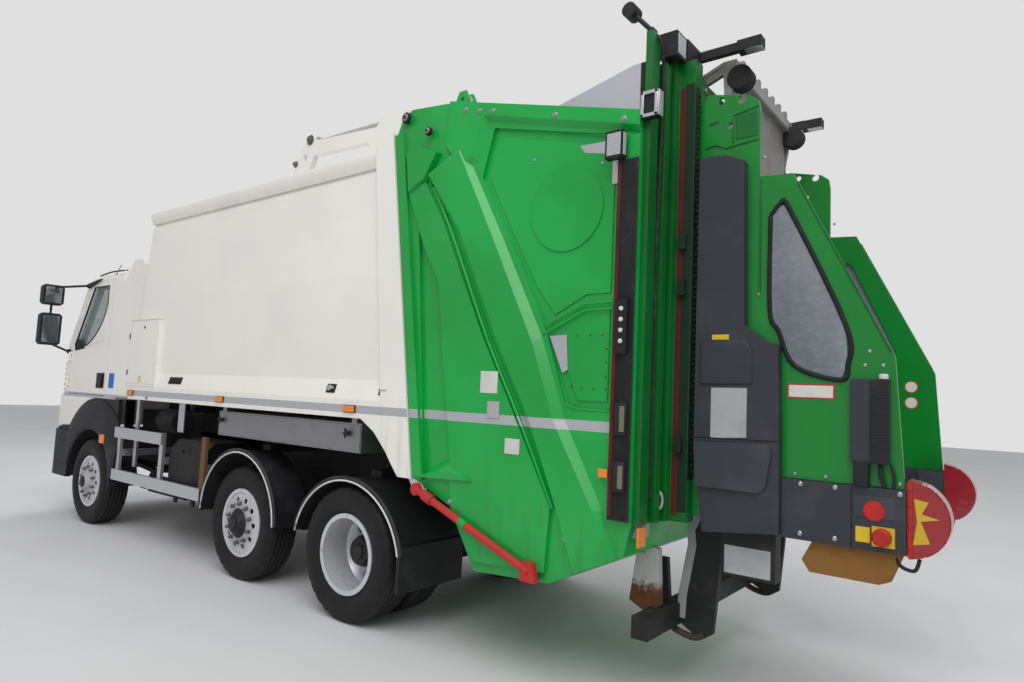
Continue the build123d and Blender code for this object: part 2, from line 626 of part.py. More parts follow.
# Mirrors on two tubes each side, reaching out from the door pillars
mirror_x_station = 5950
mirror_x = drive_x + mirror_x_station
mirror_gap = 100            # from the cab's side to the mirrors
mirror_wide = 240
mirror_inner = cab_half + mirror_gap
mirror_outer = mirror_inner + mirror_wide
mirror_depth = 110
arm_radius = 14
upper_mirror = (2640, 2900)
lower_mirror = (2120, 2530)
mirror_edge = 30
arm_root_stations = (5395, 5862)
arm_root_heights = (2880, 2050)
arm_roots = [(drive_x + station, height) for station, height in zip(arm_root_stations, arm_root_heights)]
arm_foot = 28
with BuildPart() as mirrors:
    for _, sign in SIDES:
        low, high = sorted((sign * mirror_inner, sign * mirror_outer))
        stalk = sign * (mirror_inner + mirror_outer) / 2
        for bottom, top in (upper_mirror, lower_mirror):
            cross_plate([(low + mirror_edge, bottom), (high - mirror_edge, bottom), (high, bottom + mirror_edge), (high, top - mirror_edge),
                         (high - mirror_edge, top), (low + mirror_edge, top), (low, top - mirror_edge), (low, bottom + mirror_edge)],
                        mirror_x, mirror_x + mirror_depth)
        bar((mirror_x + mirror_depth / 2, stalk, lower_mirror[0]), (mirror_x + mirror_depth / 2, stalk, upper_mirror[1]), arm_radius)
        for (root_x, root_z), height in zip(arm_roots[::-1], (lower_mirror[0] + mirror_edge, upper_mirror[1] - mirror_edge)):
            block((root_x - arm_foot, root_x + arm_foot), sorted((sign * cab_half, sign * (cab_half + arm_foot))), (root_z - arm_foot, root_z + arm_foot))
            bar((root_x, sign * (cab_half + 2 * arm_radius), root_z), (mirror_x + mirror_depth / 2, stalk, height), arm_radius)
finish(mirrors, "mirrors")

# Fuel tank on the left, battery box on the right, and the air tanks below the frame
tank_rear_station = 2320
tank_rear = drive_x + tank_rear_station
tank_front_station = 3020
tank_front = drive_x + tank_front_station
tank_inner = 560
tank_outer = 1110
tank_low = 540
tank_high = 1130
tank_round_share = 0.18
tank_band = 40
air_radius = 118
air_z = 560
air_y = 280
air_rear_station = 2400
air_rear = drive_x + air_rear_station
air_front_station = 3150
air_front = drive_x + air_front_station
with BuildPart() as fuel_tank:
    for _, sign in SIDES:
        low, high = sorted((sign * tank_inner, sign * tank_outer))
        side = spread([(tank_round_share, 0), (1 - tank_round_share, 0), (1, tank_round_share), (1, 1 - tank_round_share),
                       (1 - tank_round_share, 1), (tank_round_share, 1), (0, 1 - tank_round_share), (0, tank_round_share)],
                      (low, high), (tank_low, tank_high))
        cross_plate(side, tank_rear, tank_front)
        inner, outer = sorted((sign * rail_outer, sign * (tank_inner + tank_band)))
        for place in (tank_rear + tank_band, tank_front - 3 * tank_band):
            block((place, place + 2 * tank_band), (inner, outer), (rail_low + tank_band, rail_top - tank_band))
        bar((air_rear, sign * air_y, air_z), (air_front, sign * air_y, air_z), air_radius)
        low, high = sorted((sign * (air_y - tank_band), sign * (rail_outer - rail_wall)))
        for place in (air_rear + tank_band, air_front - 2 * tank_band):
            block((place, place + tank_band), (low, high), (air_z, rail_low + cross_depth / 2))
finish(fuel_tank, "fuel_tank")

# Side guards: two rails on posts, bracketed to the frame
guard_front_station = 4150
guard_front = drive_x + guard_front_station
guard_rear_station = 2200
guard_rear = drive_x + guard_rear_station
guard_top_rear_station = 3040
guard_top_rear = drive_x + guard_top_rear_station
guard_outer = 1205
guard_wall = 32
guard_low = 598
guard_low_top = 715
guard_high = 1065
guard_high_top = 1182
guard_post = 70
guard_posts = (3060, 4060, 2200)     # stations of their rear faces
strut_low = 860
strut_high = 930
with BuildPart() as side_guards:
    for _, sign in SIDES:
        low, high = sorted((sign * guard_outer, sign * (guard_outer - guard_wall)))
        block((guard_rear, guard_front), (low, high), (guard_low, guard_low_top))
        block((guard_top_rear, guard_front), (low, high), (guard_high, guard_high_top))
        low, high = sorted((sign * (guard_outer - guard_wall), sign * (guard_outer - 2 * guard_wall)))
        inner, outer = sorted((sign * rail_outer, sign * (guard_outer - 2 * guard_wall)))
        for station in guard_posts:
            place = drive_x + station
            block((place, place + guard_post), (low, high), (guard_low, guard_high_top))
            block((place, place + guard_post), (inner, outer), (strut_low, strut_high))
finish(side_guards, "side_guards")

# Mudguards over the pusher and drive wheels, with brackets to the subframe and flaps behind
guard_arc_radius = 590
guard_arc_z = 530
guard_sheet = 14
pusher_cover = (885, 1222)
twin_cover = (585, 1240)
twin_arc = (612, 575)       # half length and height of the flatter twin cover
twin_arc_z = 465
twin_arc_from = 12          # angle at which that cover begins
flap_low = 330
flap_x = drive_x - twin_arc[0] - 0.5 * guard_sheet
hanger = 60
with BuildPart() as mudguards:
    for _, sign in SIDES:
        low, high = sorted((sign * pusher_cover[0], sign * pusher_cover[1]))
        side_plate(strap(arc_points(pusher_x, guard_arc_z, guard_arc_radius, 0, half_turn, arch_steps)[::-1], guard_sheet), low, high)
        low, high = sorted((sign * twin_cover[0], sign * twin_cover[1]))
        arc = [(drive_x + twin_arc[0] * x, twin_arc_z + twin_arc[1] * z)
               for x, z in arc_points(0, 0, 1, twin_arc_from, half_turn - twin_arc_from, arch_steps)]
        side_plate(strap(arc[::-1], guard_sheet), low, high)
        block((flap_x, flap_x + 2 * guard_sheet), (low, high), (flap_low, arc[-1][1] + hanger))
        for place, top in ((pusher_x, guard_arc_z + guard_arc_radius), (drive_x, twin_arc_z + twin_arc[1])):
            inner, outer = sorted((sign * sub_outer, sign * (pusher_cover[0] + hanger)))
            block((place - hanger, place + hanger), (inner, outer), (top - guard_sheet / 2, top + hanger))
finish(mudguards, "mudguards")

# Long steel tool box under the body's side, hung from its floor
box_rear_station = 32
box_rear = drive_x - box_rear_station
box_front_station = 2032
box_front = drive_x + box_front_station
box_inner = 800
box_outer = 1150
box_low = 1240
box_top = 1465
with BuildPart() as tool_box:
    for _, sign in SIDES:
        low, high = sorted((sign * box_inner, sign * box_outer))
        block((box_rear, box_front), (low, high), (box_low, box_top))
        for place in (box_rear + hanger, box_front - 2 * hanger):
            block((place, place + hanger), (low, high), (box_top, body_floor))
finish(tool_box, "tool_box")

# Body: a hollow load space with bulged sides, ledges, rear posts and hinge brackets
seam_top_station = 300
seam_top = (drive_x - seam_top_station, 3660)
seam_foot_station = 690
seam_foot = (drive_x - seam_foot_station, 1130)


def seam_x(z):
    """where the rear seam of the body lies at a height"""
    return seam_foot[0] + (seam_top[0] - seam_foot[0]) * (z - seam_foot[1]) / (seam_top[1] - seam_foot[1])


front_foot_station = 3790
front_foot = drive_x + front_foot_station
front_top_station = 3610
front_top = drive_x + front_top_station
rail_band = 3505            # upper edge of the groove along the side's top
groove_low = 3408
side_half_offset = 45
side_half = body_half - side_half_offset
groove_half_offset = 65
groove_half = body_half - groove_half_offset
ledge_top = 1800
ledge_foot = 1648
body_wall = 60
floor_thick = 70
roof_thick = 45
bulge = 14
crown_half_offset = 130
crown_half = body_half - crown_half_offset
roof_eave = 3560
side_mid = (ledge_top + groove_low) / 2
half_section = [(0, body_floor), (body_half, body_floor), (body_half, ledge_foot), (side_half, ledge_top), (side_half + bulge, side_mid),
                (side_half, groove_low), (groove_half, groove_low), (groove_half, rail_band), (side_half, rail_band), (side_half, roof_eave),
                (crown_half, body_roof - roof_thick / 2), (0, body_roof)]
outer_section = half_section[:-1] + [(-y, z) for y, z in half_section[:0:-1]]
cavity_half = groove_half - body_wall
body_cavity_outline = [(front_foot - body_wall, body_floor + floor_thick), (front_top - body_wall, body_roof - 2 * roof_thick),
                       (seam_x(body_roof) - overrun, body_roof - 2 * roof_thick), (seam_x(body_floor) - overrun, body_floor + floor_thick)]
post_width_top = 190
post_width_foot = 280
post_inner_offset = 130
post_inner = body_half - post_inner_offset
arch_station = 560
arch_run = 220              # from the post's foot to where its front edge begins
arch_x = (drive_x - arch_station, seam_x(body_floor) + post_width_foot + arch_run)
arch_shares = ((1, 1), (0.6349, 0.7632), (0.3419, 0.4474), (0.1465, 0.1842), (0, 0))
bracket_inner_offset = 128
bracket_inner = body_half - bracket_inner_offset
bracket_outer_offset = 83
bracket_outer = body_half - bracket_outer_offset
bracket_x_stations = (330, 1110)
bracket_x = (drive_x - bracket_x_stations[0], drive_x + bracket_x_stations[1])
bracket_z = (3530, 3880)
bracket_shares = ((1, 0), (0.9583, 0.4571), (0.8819, 0.9429), (0.7708, 0.9143), (0.2292, 0.7714),
        (0.1667, 1), (0, 1))
slot_shares = ((0.7847, 0.5286), (0.2917, 0.4571), (0.2431, 0.2), (0.8264, 0.2))
eye_outer = 72
pivot_radius = 26
cylinder_pin_station = 855
cylinder_pin = (drive_x + cylinder_pin_station, 3868)
bracket_hole_station = 925
bracket_hole = (drive_x + bracket_hole_station, 3720)
hole_radius = 30
lug_x_station = 706
lug_x = drive_x - lug_x_station
lug_z = 1062
lug_radius = 48
locker_rear_station = 3190
locker_rear = drive_x + locker_rear_station
locker_front_station = 3850
locker_front = drive_x + locker_front_station
locker_top = 2370
locker_outer_offset = 2
locker_outer = body_half + locker_outer_offset
locker_slope = 60
with BuildPart() as body_shell:
    cross_plate(outer_section, seam_x(body_floor), front_foot)
    side_plate([(seam_x(body_floor), body_floor), (front_foot, body_floor), (front_top, body_roof), (seam_x(body_roof), body_roof)],
               -body_half - overrun, body_half + overrun, mode=Mode.INTERSECT)
    side_plate(body_cavity_outline, -cavity_half, cavity_half, mode=Mode.SUBTRACT)
    for _, sign in SIDES:
        low, high = sorted((sign * post_inner, sign * body_half))
        side_plate([seam_top, (seam_top[0] + post_width_top, seam_top[1] - roof_thick), (seam_x(body_floor) + post_width_foot, body_floor)]
                   + spread(arch_shares, arch_x, (seam_foot[1], body_floor)) + [seam_foot], low, high)
        low, high = sorted((sign * bracket_inner, sign * bracket_outer))
        side_plate(spread(bracket_shares, bracket_x, bracket_z) + [(hinge_x, hinge_height + eye_outer), (hinge_x - eye_outer, hinge_height),
                   (hinge_x, hinge_height - eye_outer), (seam_top[0] + post_width_top / 2, seam_top[1] - eye_outer)], low, high)
        side_plate(spread(slot_shares, bracket_x, bracket_z), low, high, mode=Mode.SUBTRACT)
        cross_pin(bracket_hole[0], bracket_hole[1], low, high, hole_radius, mode=Mode.SUBTRACT)
        low, high = sorted((sign * (bracket_inner - 3 * pivot_radius), sign * (tail_open + pivot_radius / 2)))
        cross_pin(hinge_x, hinge_height, low, high, pivot_radius)
        low, high = sorted((sign * (bracket_inner - 3 * pivot_radius), sign * bracket_outer))
        cross_pin(cylinder_pin[0], cylinder_pin[1], low, high, pivot_radius)
        low, high = sorted((sign * post_inner, sign * (post_inner + body_wall / 2)))
        side_plate([(arch_x[0], seam_foot[1]), seam_foot, (lug_x - lug_radius / 2, lug_z), (lug_x, lug_z - lug_radius),
                    (arch_x[0] - lug_radius, lug_z)], low, high)
    for _, sign in SIDES:
        low, high = sorted((sign * (side_half - locker_slope), sign * locker_outer))
        block((locker_rear, locker_front), (low, high), (ledge_top + locker_slope, locker_top))
finish(body_shell, "body_shell")

# Tailgate: side walls, roof, trough and rear wall round an open hopper, with pressed ridges and frames outside
tail_rear_station = 2365
tail_rear = drive_x - tail_rear_station
tail_x = (tail_rear, tail_rear + tail_length)
tail_z = (tail_low, tail_low + tail_rise)


def tail_front_x(z):
    """front edge of the tailgate at a height, a swing gap behind the body's seam"""
    return seam_x(z) - swing_gap


def on_tail(shares):
    """points of an outline on the tailgate's side, from shares of its length and height"""
    return spread(shares, tail_x, tail_z)


tail_wall = 40
pocket_deep = 25            # how far the side's pockets are pressed in
sheet_lift = 25             # how far the pressed side sheet stands out
band_lift = 32              # the top frame
ridge_lift = 42             # the long ridge
cap_lift = 46
panel_lift = 8
roof_ridge_share = (0.7445, 0.9865)
roof_edge_share = (0, 0.8605)
roof_ridge, roof_edge = on_tail((roof_ridge_share, roof_edge_share))
sheet_thick = 45
arm_top_shares = ((0.9965, 0.989), (0.948, 1.0))
belly_shares = ((0, 0.14), (0.02, 0.0844), (0.259, 0.0112), (0.546, 0), (0.6625, 0.1156))
seam_high = tail_low + 0.9453 * tail_rise
wall_outline = ([(tail_front_x(seam_high), seam_high)] + on_tail(arm_top_shares + (roof_ridge_share, roof_edge_share) + belly_shares)
                + [(tail_front_x(seam_foot[1]), seam_foot[1])])
rear_wall_foot_share = 0.245
trough_line = (on_tail(((0, rear_wall_foot_share),) + belly_shares)
               + [(tail_front_x(seam_foot[1]), seam_foot[1]), (tail_front_x(body_floor), body_floor)])
channel_shares = ((0.884, 0.73), (0.841, 0.67), (0.757, 0.584), (0.7275, 0.4535), (0.664, 0.221), (0.664, 0.178), (0.795, 0.1735))
pocket_shares = ((0.547, 0.903), (0.07, 0.8275), (0.07, 0.33), (0.18, 0.33), (0.227, 0.338), (0.305, 0.474), (0.367, 0.55),
                 (0.474, 0.67), (0.591, 0.80))
sheet_shares = ((0.9325, 0.798), (0.884, 0.73), (0.841, 0.67), (0.757, 0.584), (0.7275, 0.4535), (0.664, 0.221), (0.652, 0.12),
                (0.55, 0.02), (0.27, 0.03), (0.258, 0.1475), (0.40, 0.306), (0.55, 0.468), (0.744, 0.71), (0.85, 0.817))
# the ridge at six places down its length: foot and crest of its front flank, crest and foot of its rear flank
ridge_shares = (((0.85, 0.817), (0.83, 0.83), (0.69, 0.87), (0.64, 0.85)),
                ((0.744, 0.71), (0.665, 0.6925), (0.52, 0.67), (0.474, 0.67)),
                ((0.55, 0.468), (0.48, 0.457), (0.34, 0.45), (0.305, 0.474)),
                ((0.40, 0.306), (0.342, 0.308), (0.254, 0.307), (0.2025, 0.309)),
                ((0.258, 0.1475), (0.2355, 0.155), (0.11, 0.155), (0.071, 0.155)),
                ((0.172, 0.0385), (0.163, 0.0415), (0.0525, 0.0745), (0.0325, 0.0815)))
ridge_foot_shares = [row[0] for row in ridge_shares] + [row[3] for row in ridge_shares[::-1]]
ridge_crest_shares = [row[1] for row in ridge_shares] + [row[2] for row in ridge_shares[::-1]]
band_foot_shares = (roof_ridge_share, roof_edge_share, (0, 0.81), (0.5525, 0.908), (0.587, 0.828), (0.66, 0.808), (0.764, 0.889))
band_crest_shares = (roof_ridge_share, roof_edge_share, (0, 0.833), (0.5875, 0.933), (0.6375, 0.8515), (0.6825, 0.839), (0.7575, 0.8875))
cap_foot_shares = ((0.958, 0.90), (0.8825, 0.908), (0.782, 0.878), (0.843, 0.815), (0.932, 0.785))
cap_crest_shares = ((0.946, 0.892), (0.8825, 0.897), (0.7945, 0.875), (0.848, 0.824), (0.926, 0.80))
gusset_foot_shares = ((0.8245, 0.164), (0.664, 0.2235), (0.554, 0.1735))
gusset_crest_shares = ((0.82, 0.167), (0.664, 0.19), (0.562, 0.1745))
emboss_panel_shares = ((0.53, 0.884), (0.09, 0.812), (0.09, 0.54), (0.17, 0.54), (0.28, 0.505), (0.35, 0.56), (0.455, 0.675),
                       (0.565, 0.80))
service_panel_shares = ((0.29, 0.49), (0.165, 0.515), (0.09, 0.515), (0.09, 0.345), (0.19, 0.345))
emboss_centre_share = (0.2525, 0.705)
emboss_radius = 258
seam_band = 92              # width of the upright band along the body's seam
rear_band = 135             # and of the band at the rear edge
rear_band_low = 1078
rear_band_high = 3232
roof_front = hinge_x - 3 * seam_band / 2
roof_inner_offset = 175
roof_inner = tail_open - roof_inner_offset
rear_wall_low = 2450
trough_wall = 30
clevis_x_station = 870
clevis_x = drive_x - clevis_x_station
clevis_z = 3838
clevis_foot = 3718
clevis_gap = 26
clevis_wall = 20
clevis_half = 60
clevis_seat = 50            # depth of the plate below each clevis
rod_y_offset = 143
rod_y = tail_open - rod_y_offset
with BuildPart() as tailgate_shell:
    for _, sign in SIDES:
        low, high = sorted((sign * (tail_open - tail_wall), sign * tail_open))
        side_plate(wall_outline, low, high)
        inner, outer = sorted((sign * (tail_open - pocket_deep), sign * (tail_open + overrun)))
        side_plate(on_tail(channel_shares), inner, outer, mode=Mode.SUBTRACT)
        side_plate(on_tail(pocket_shares), inner, outer, mode=Mode.SUBTRACT)
        low, high = sorted((sign * (tail_open - pocket_deep), sign * (tail_open - pocket_deep + panel_lift)))
        side_plate(on_tail(emboss_panel_shares), low, high)
        side_plate(on_tail(service_panel_shares), low, high)
        emboss_x, emboss_z = on_tail((emboss_centre_share,))[0]
        low, high = sorted((sign * (tail_open - pocket_deep), sign * (tail_open - pocket_deep + 2 * panel_lift)))
        cross_pin(emboss_x, emboss_z, low, high, emboss_radius)
        low, high = sorted((sign * (tail_open - pocket_deep), sign * (tail_open + sheet_lift)))
        side_plate(on_tail(sheet_shares), low, high)
        low, high = sorted((sign * tail_open, sign * (tail_open + sheet_lift)))
        side_plate([(tail_front_x(seam_high), seam_high), (tail_front_x(seam_high) - seam_band, seam_high),
                    (tail_front_x(seam_foot[1]) - seam_band, seam_foot[1]), (tail_front_x(seam_foot[1]), seam_foot[1])], low, high)
        block((tail_rear, tail_rear + rear_band), (low, high), (rear_band_low, rear_band_high))
        root = tail_open - pocket_deep - panel_lift / 2
        for foot, crest, lift in ((ridge_foot_shares, ridge_crest_shares, ridge_lift), (band_foot_shares, band_crest_shares, band_lift),
                                  (cap_foot_shares, cap_crest_shares, cap_lift), (gusset_foot_shares, gusset_crest_shares, ridge_lift)):
            raised_form(on_tail(foot), on_tail(crest), root, tail_open + lift, sign)
        low, high = sorted((sign * (tail_open - tail_wall), sign * roof_inner))
        side_plate([(roof_front - clevis_half, clevis_foot + 3 * clevis_seat / 4), (clevis_x - clevis_seat, clevis_foot + clevis_seat / 2),
                    (clevis_x - clevis_seat, clevis_foot - clevis_seat / 2), (roof_front - clevis_half, clevis_foot - clevis_seat / 2)],
                   low, high)
        low, high = sorted((sign * (tail_open - tail_wall), sign * (tail_open + overrun)))
        cross_pin(hinge_x, hinge_height, low, high, pivot_radius + running_gap, mode=Mode.SUBTRACT)
        for side in (-1, 1):
            low, high = sorted((sign * (rod_y + side * clevis_gap), sign * (rod_y + side * (clevis_gap + clevis_wall))))
            side_plate([(clevis_x - clevis_half, clevis_foot), (clevis_x - clevis_half, clevis_z),
                        (clevis_x - clevis_half / 2, clevis_z + clevis_half), (clevis_x + clevis_half / 2, clevis_z + clevis_half),
                        (clevis_x + clevis_half, clevis_z), (clevis_x + clevis_half, clevis_foot)], low, high)
            cross_pin(clevis_x, clevis_z, low, high, pivot_radius / 2 + running_gap, mode=Mode.SUBTRACT)
    roof_line = [roof_edge, roof_ridge, (roof_front, roof_ridge[1] + pivot_radius / 2)]
    side_plate(strap(roof_line, -sheet_thick), -roof_inner, roof_inner)
    side_plate(strap(roof_line[:2], -sheet_thick), tail_wall - tail_open, tail_open - tail_wall)
    block((tail_rear, tail_rear + tail_wall), (tail_wall - tail_open, tail_open - tail_wall), (rear_wall_low, roof_edge[1]))
    side_plate(strap(trough_line, trough_wall), tail_wall - tail_open, tail_open - tail_wall)
finish(tailgate_shell, "tailgate_shell")


def roof_z(x):
    """height of the top of the tailgate's sloping roof"""
    return roof_ridge[1] + (roof_edge[1] - roof_ridge[1]) * (x - roof_ridge[0]) / (roof_edge[0] - roof_ridge[0])


# Hood over the rear of the tailgate, hollow and open below
hood_half_offset = 115
hood_half = tail_open - hood_half_offset
hood_front_station = 1600
hood_front = drive_x - hood_front_station
hood_flat = 90              # length of its level top
hood_top = 3725
hood_wall = 25
hood_rear = tail_rear + tail_wall
hood_outline = [(hood_front, roof_z(hood_front) + seat_gap), (hood_rear + hood_flat, hood_top), (hood_rear, hood_top),
                (hood_rear, roof_z(hood_rear) + seat_gap)]
hood_cut_x = hood_front - 4 * hood_wall
hood_low = roof_z(hood_rear) - hood_wall
with BuildPart() as hopper_hood:
    side_plate(hood_outline, -hood_half, hood_half)
    side_plate([(hood_cut_x, hood_low), (hood_cut_x, roof_z(hood_front)), (hood_rear + hood_flat, hood_top - hood_wall),
                (hood_rear - overrun, hood_top - hood_wall), (hood_rear - overrun, hood_low)],
               hood_wall - hood_half, hood_half - hood_wall, mode=Mode.SUBTRACT)
finish(hopper_hood, "hopper_hood")

# Tailgate cylinders: barrels pinned to the body's brackets, rods out to the tailgate's clevises
barrel_tube = 34
rod_radius = 20
eye_half_width = 21
barrel_eye_half = 30
barrel_eye = 50
rod_eye = 46
barrel_end_share = 0.56     # shares of the way from the barrel's pin to the rod's eye
barrel_start_share = 0.02
bore_start_share = 0.10
rod_start_share = 0.36


def cylinder_point(share, sign):
    """a point on a cylinder's axis"""
    return (cylinder_pin[0] + (clevis_x - cylinder_pin[0]) * share, sign * rod_y,
            cylinder_pin[1] + (clevis_z - cylinder_pin[1]) * share)


with BuildPart() as tailgate_barrels:
    for _, sign in SIDES:
        bar(cylinder_point(barrel_start_share, sign), cylinder_point(barrel_end_share, sign), barrel_tube)
        low, high = sorted((sign * (rod_y - barrel_eye_half), sign * (rod_y + barrel_eye_half)))
        cross_pin(cylinder_pin[0], cylinder_pin[1], low, high, barrel_eye)
        cross_pin(cylinder_pin[0], cylinder_pin[1], low - overrun, high + overrun, pivot_radius + running_gap, mode=Mode.SUBTRACT)
        bar(cylinder_point(bore_start_share, sign), cylinder_point(barrel_end_share + bore_start_share, sign),
            rod_radius + running_gap, mode=Mode.SUBTRACT)
finish(tailgate_barrels, "tailgate_barrels")
with BuildPart() as tailgate_rods:
    for _, sign in SIDES:
        bar(cylinder_point(rod_start_share, sign), cylinder_point(1, sign), rod_radius)
        low, high = sorted((sign * (rod_y - eye_half_width), sign * (rod_y + eye_half_width)))
        cross_pin(clevis_x, clevis_z, low, high, rod_eye)
finish(tailgate_rods, "tailgate_rods")

# Red clamp struts along the tailgate's lower edge, hooked beside the body's lugs
strut_y_offset = 20
strut_y = body_half + strut_y_offset
strut_tube = 25
strut_eye = 42
strut_eye_half = 15
strut_front_offsets = (70, 10)
strut_front = (lug_x - strut_front_offsets[0], lug_z + strut_front_offsets[1])
strut_rear_station = 1740
strut_rear = (drive_x - strut_rear_station, 705)
strut_block_share = 0.16
strut_block_half = 36
saddle_half = 55
with BuildPart() as tailgate_struts:
    for _, sign in SIDES:
        front = (strut_front[0], sign * strut_y, strut_front[1])
        rear = (strut_rear[0], sign * strut_y, strut_rear[1])
        bar(front, rear, strut_tube)
        bar(tuple(a + (b - a) * strut_block_share / 2 for a, b in zip(front, rear)),
            tuple(a + (b - a) * strut_block_share for a, b in zip(front, rear)), strut_block_half)
        low, high = sorted((sign * (strut_y - strut_eye_half), sign * (strut_y + strut_eye_half)))
        cross_pin(front[0], front[2], low, high, strut_eye)
        low, high = sorted((sign * (tail_open + sheet_lift), sign * (strut_y + strut_eye_half)))
        side_plate([(rear[0] - saddle_half, rear[2] - saddle_half), (rear[0] + saddle_half, rear[2] - saddle_half),
                    (rear[0] + saddle_half, rear[2] + saddle_half), (rear[0] - saddle_half / 2, rear[2] + saddle_half)], low, high)
finish(tailgate_struts, "tailgate_struts")

# Lift frame: guide posts and stepped channels each side, tied by a sill and a header
post_b = (800, 900)         # half widths of the guide posts' inner and outer faces
post_b_depth = 175
post_foot = 1063
post_b_top = 3765
# channels beside each guide post: half widths of inner and outer face, depth, top
side_posts = ((1100, 1200, 40, 3850), (990, 1050, 60, 3710), (900, 950, 75, 3750))
web_depth = 16
web_top = 3230
sill_top = 1150
sill_depth = 50
header_low = 3735
with BuildPart() as lift_frame:
    for _, sign in SIDES:
        block((tail_rear - post_b_depth, tail_rear), sorted(sign * y for y in post_b), (post_foot, post_b_top))
        for inner, outer, depth, top in side_posts:
            block((tail_rear - depth, tail_rear), sorted((sign * inner, sign * outer)), (post_foot, top))
        block((tail_rear - web_depth, tail_rear), sorted((sign * post_b[1], sign * side_posts[0][1])), (post_foot, web_top))
    block((tail_rear - sill_depth, tail_rear), (-post_b[0], post_b[0]), (post_foot, sill_top))
    block((tail_rear, tail_rear + tail_wall), (-post_b[1], post_b[1]), (header_low, post_b_top))
finish(lift_frame, "lift_frame")

# Side shields of the lift, each with its window
shield_wall = 25
shield_front = tail_rear - post_b_depth
shield_length = 1070
shield_x = (shield_front - shield_length, shield_front)
shield_z = (1100, 3560)
shield_shares = ((1, 0), (1, 0.9756), (0.971, 0.9967), (0.9364, 0.9992), (0.7262, 0.9768),
        (0.6785, 0.9598), (0.6682, 0.9305), (0.6682, 0.7789), (0.5009, 0.774), (0.0458, 0.3683),
        (0.0075, 0.1081), (0.5327, 0.1081), (0.5327, 0))
window_shares = ((0.6075, 0.6829), (0.5579, 0.7077), (0.514, 0.6915), (0.2514, 0.4329), (0.2411, 0.35),
        (0.2757, 0.3187), (0.4813, 0.3467), (0.5607, 0.4228), (0.6056, 0.4707))
window_cut_shares = ((0.5935, 0.6789), (0.5561, 0.6959), (0.5234, 0.6837), (0.2664, 0.4309), (0.2579, 0.3516),
        (0.2822, 0.3285), (0.472, 0.3537), (0.5477, 0.4252), (0.5916, 0.4724))
# holes in the shields' tops: place in shares, radius
shield_holes = ((0.8832, 0.9776, 22), (0.7664, 0.9715, 26), (0.8271, 0.9126, 18))
with BuildPart() as lift_shields:
    for _, sign in SIDES:
        low, high = sorted((sign * (shield_half - shield_wall), sign * shield_half))
        side_plate(spread(shield_shares, shield_x, shield_z), low, high)
        side_plate(spread(window_cut_shares, shield_x, shield_z), low - overrun, high + overrun, mode=Mode.SUBTRACT)
        for u, w, radius in shield_holes:
            x, z = spread(((u, w),), shield_x, shield_z)[0]
            cross_pin(x, z, low - overrun / 2, high + overrun / 2, radius, mode=Mode.SUBTRACT)
finish(lift_shields, "lift_shields")
window_thick = 5
with BuildPart() as shield_windows:
    for _, sign in SIDES:
        low, high = sorted((sign * shield_half, sign * (shield_half + window_thick)))
        side_plate(spread(window_shares, shield_x, shield_z), low, high)
finish(shield_windows, "shield_windows")

# Grey moulded covers on the shields, valve covers behind the windows, foot panels, and rubber strips on the tailgate's edge
cover_outer_offset = 65
cover_outer = shield_half + cover_outer_offset
cover_length = 470
cover_front_offset = 28
cover_front = shield_front - cover_front_offset
cover_x = (cover_front - cover_length, cover_front)
cover_z = (1029, 3160)
cover_shares = ((1, 0.221), (1, 0.9991), (0.666, 0.9962), (0.4468, 0.9728), (0.4128, 0.5364),
        (0.1809, 0.4969), (0.0255, 0.4838), (0.0043, 0.2496), (0, 0.1581), (0, 0.0216),
        (0.8723, 0))
valve_inset = 69
valve_long = 172
valve_x = (shield_x[0] + valve_inset, shield_x[0] + valve_inset + valve_long)
valve_z = (1478, 1890)
valve_deep = 40
foot_low = 1062
foot_outer_offset = 30
foot_outer = shield_half + foot_outer_offset
foot_thick = 55
foot_rear = shield_x[0]
foot_front = cover_x[0] - 4
foot_tall = 302
foot_high = foot_low + foot_tall
foot_lap = 8
end_box_long = 130
strip_wide = 130
strip_thick = 12
strip_top = 3095
with BuildPart() as lift_covers:
    for _, sign in SIDES:
        low, high = sorted((sign * shield_half, sign * cover_outer))
        side_plate(spread(cover_shares, cover_x, cover_z), low, high)
        low, high = sorted((sign * shield_half, sign * (shield_half + valve_deep)))
        block(valve_x, (low, high), valve_z)
        low, high = sorted((sign * (foot_outer - foot_thick), sign * foot_outer))
        block((foot_rear, foot_front), (low, high), (foot_low, foot_high))
        low, high = sorted((sign * (foot_outer - 4 * foot_thick), sign * (foot_outer - foot_thick)))
        block((foot_rear - foot_lap, foot_rear + end_box_long), (low, high), (foot_low + foot_lap, foot_high - foot_lap))
        block((foot_front - foot_lap, cover_x[0]), sorted((sign * shield_half, sign * foot_outer)),
              (shield_z[0] - 2 * foot_lap, foot_high - foot_lap))
        low, high = sorted((sign * (tail_open + sheet_lift), sign * (tail_open + sheet_lift + strip_thick)))
        block((tail_rear, tail_rear + strip_wide), (low, high), (rear_band_low, strip_top))
finish(lift_covers, "lift_covers")

# Red rear lamps, half discs on the panels' ends
lamp_y_offsets = (130, 10)
lamp_y = (shield_half - lamp_y_offsets[0], shield_half + lamp_y_offsets[1])
lamp_radius = 185
lamp_z = 1230
lamp_steps = 10
quarter_turn = half_turn / 2
lamp_middle = drive_x - rear_reach + lamp_radius
lamp_lap = math.degrees(math.asin((lamp_middle - foot_rear + foot_lap) / lamp_radius))
with BuildPart() as rear_lamps:
    for _, sign in SIDES:
        outline = arc_points(lamp_middle, lamp_z, lamp_radius, quarter_turn + lamp_lap, 3 * quarter_turn - lamp_lap, lamp_steps)
        side_plate(outline, *sorted(sign * y for y in lamp_y))
finish(rear_lamps, "rear_lamps")

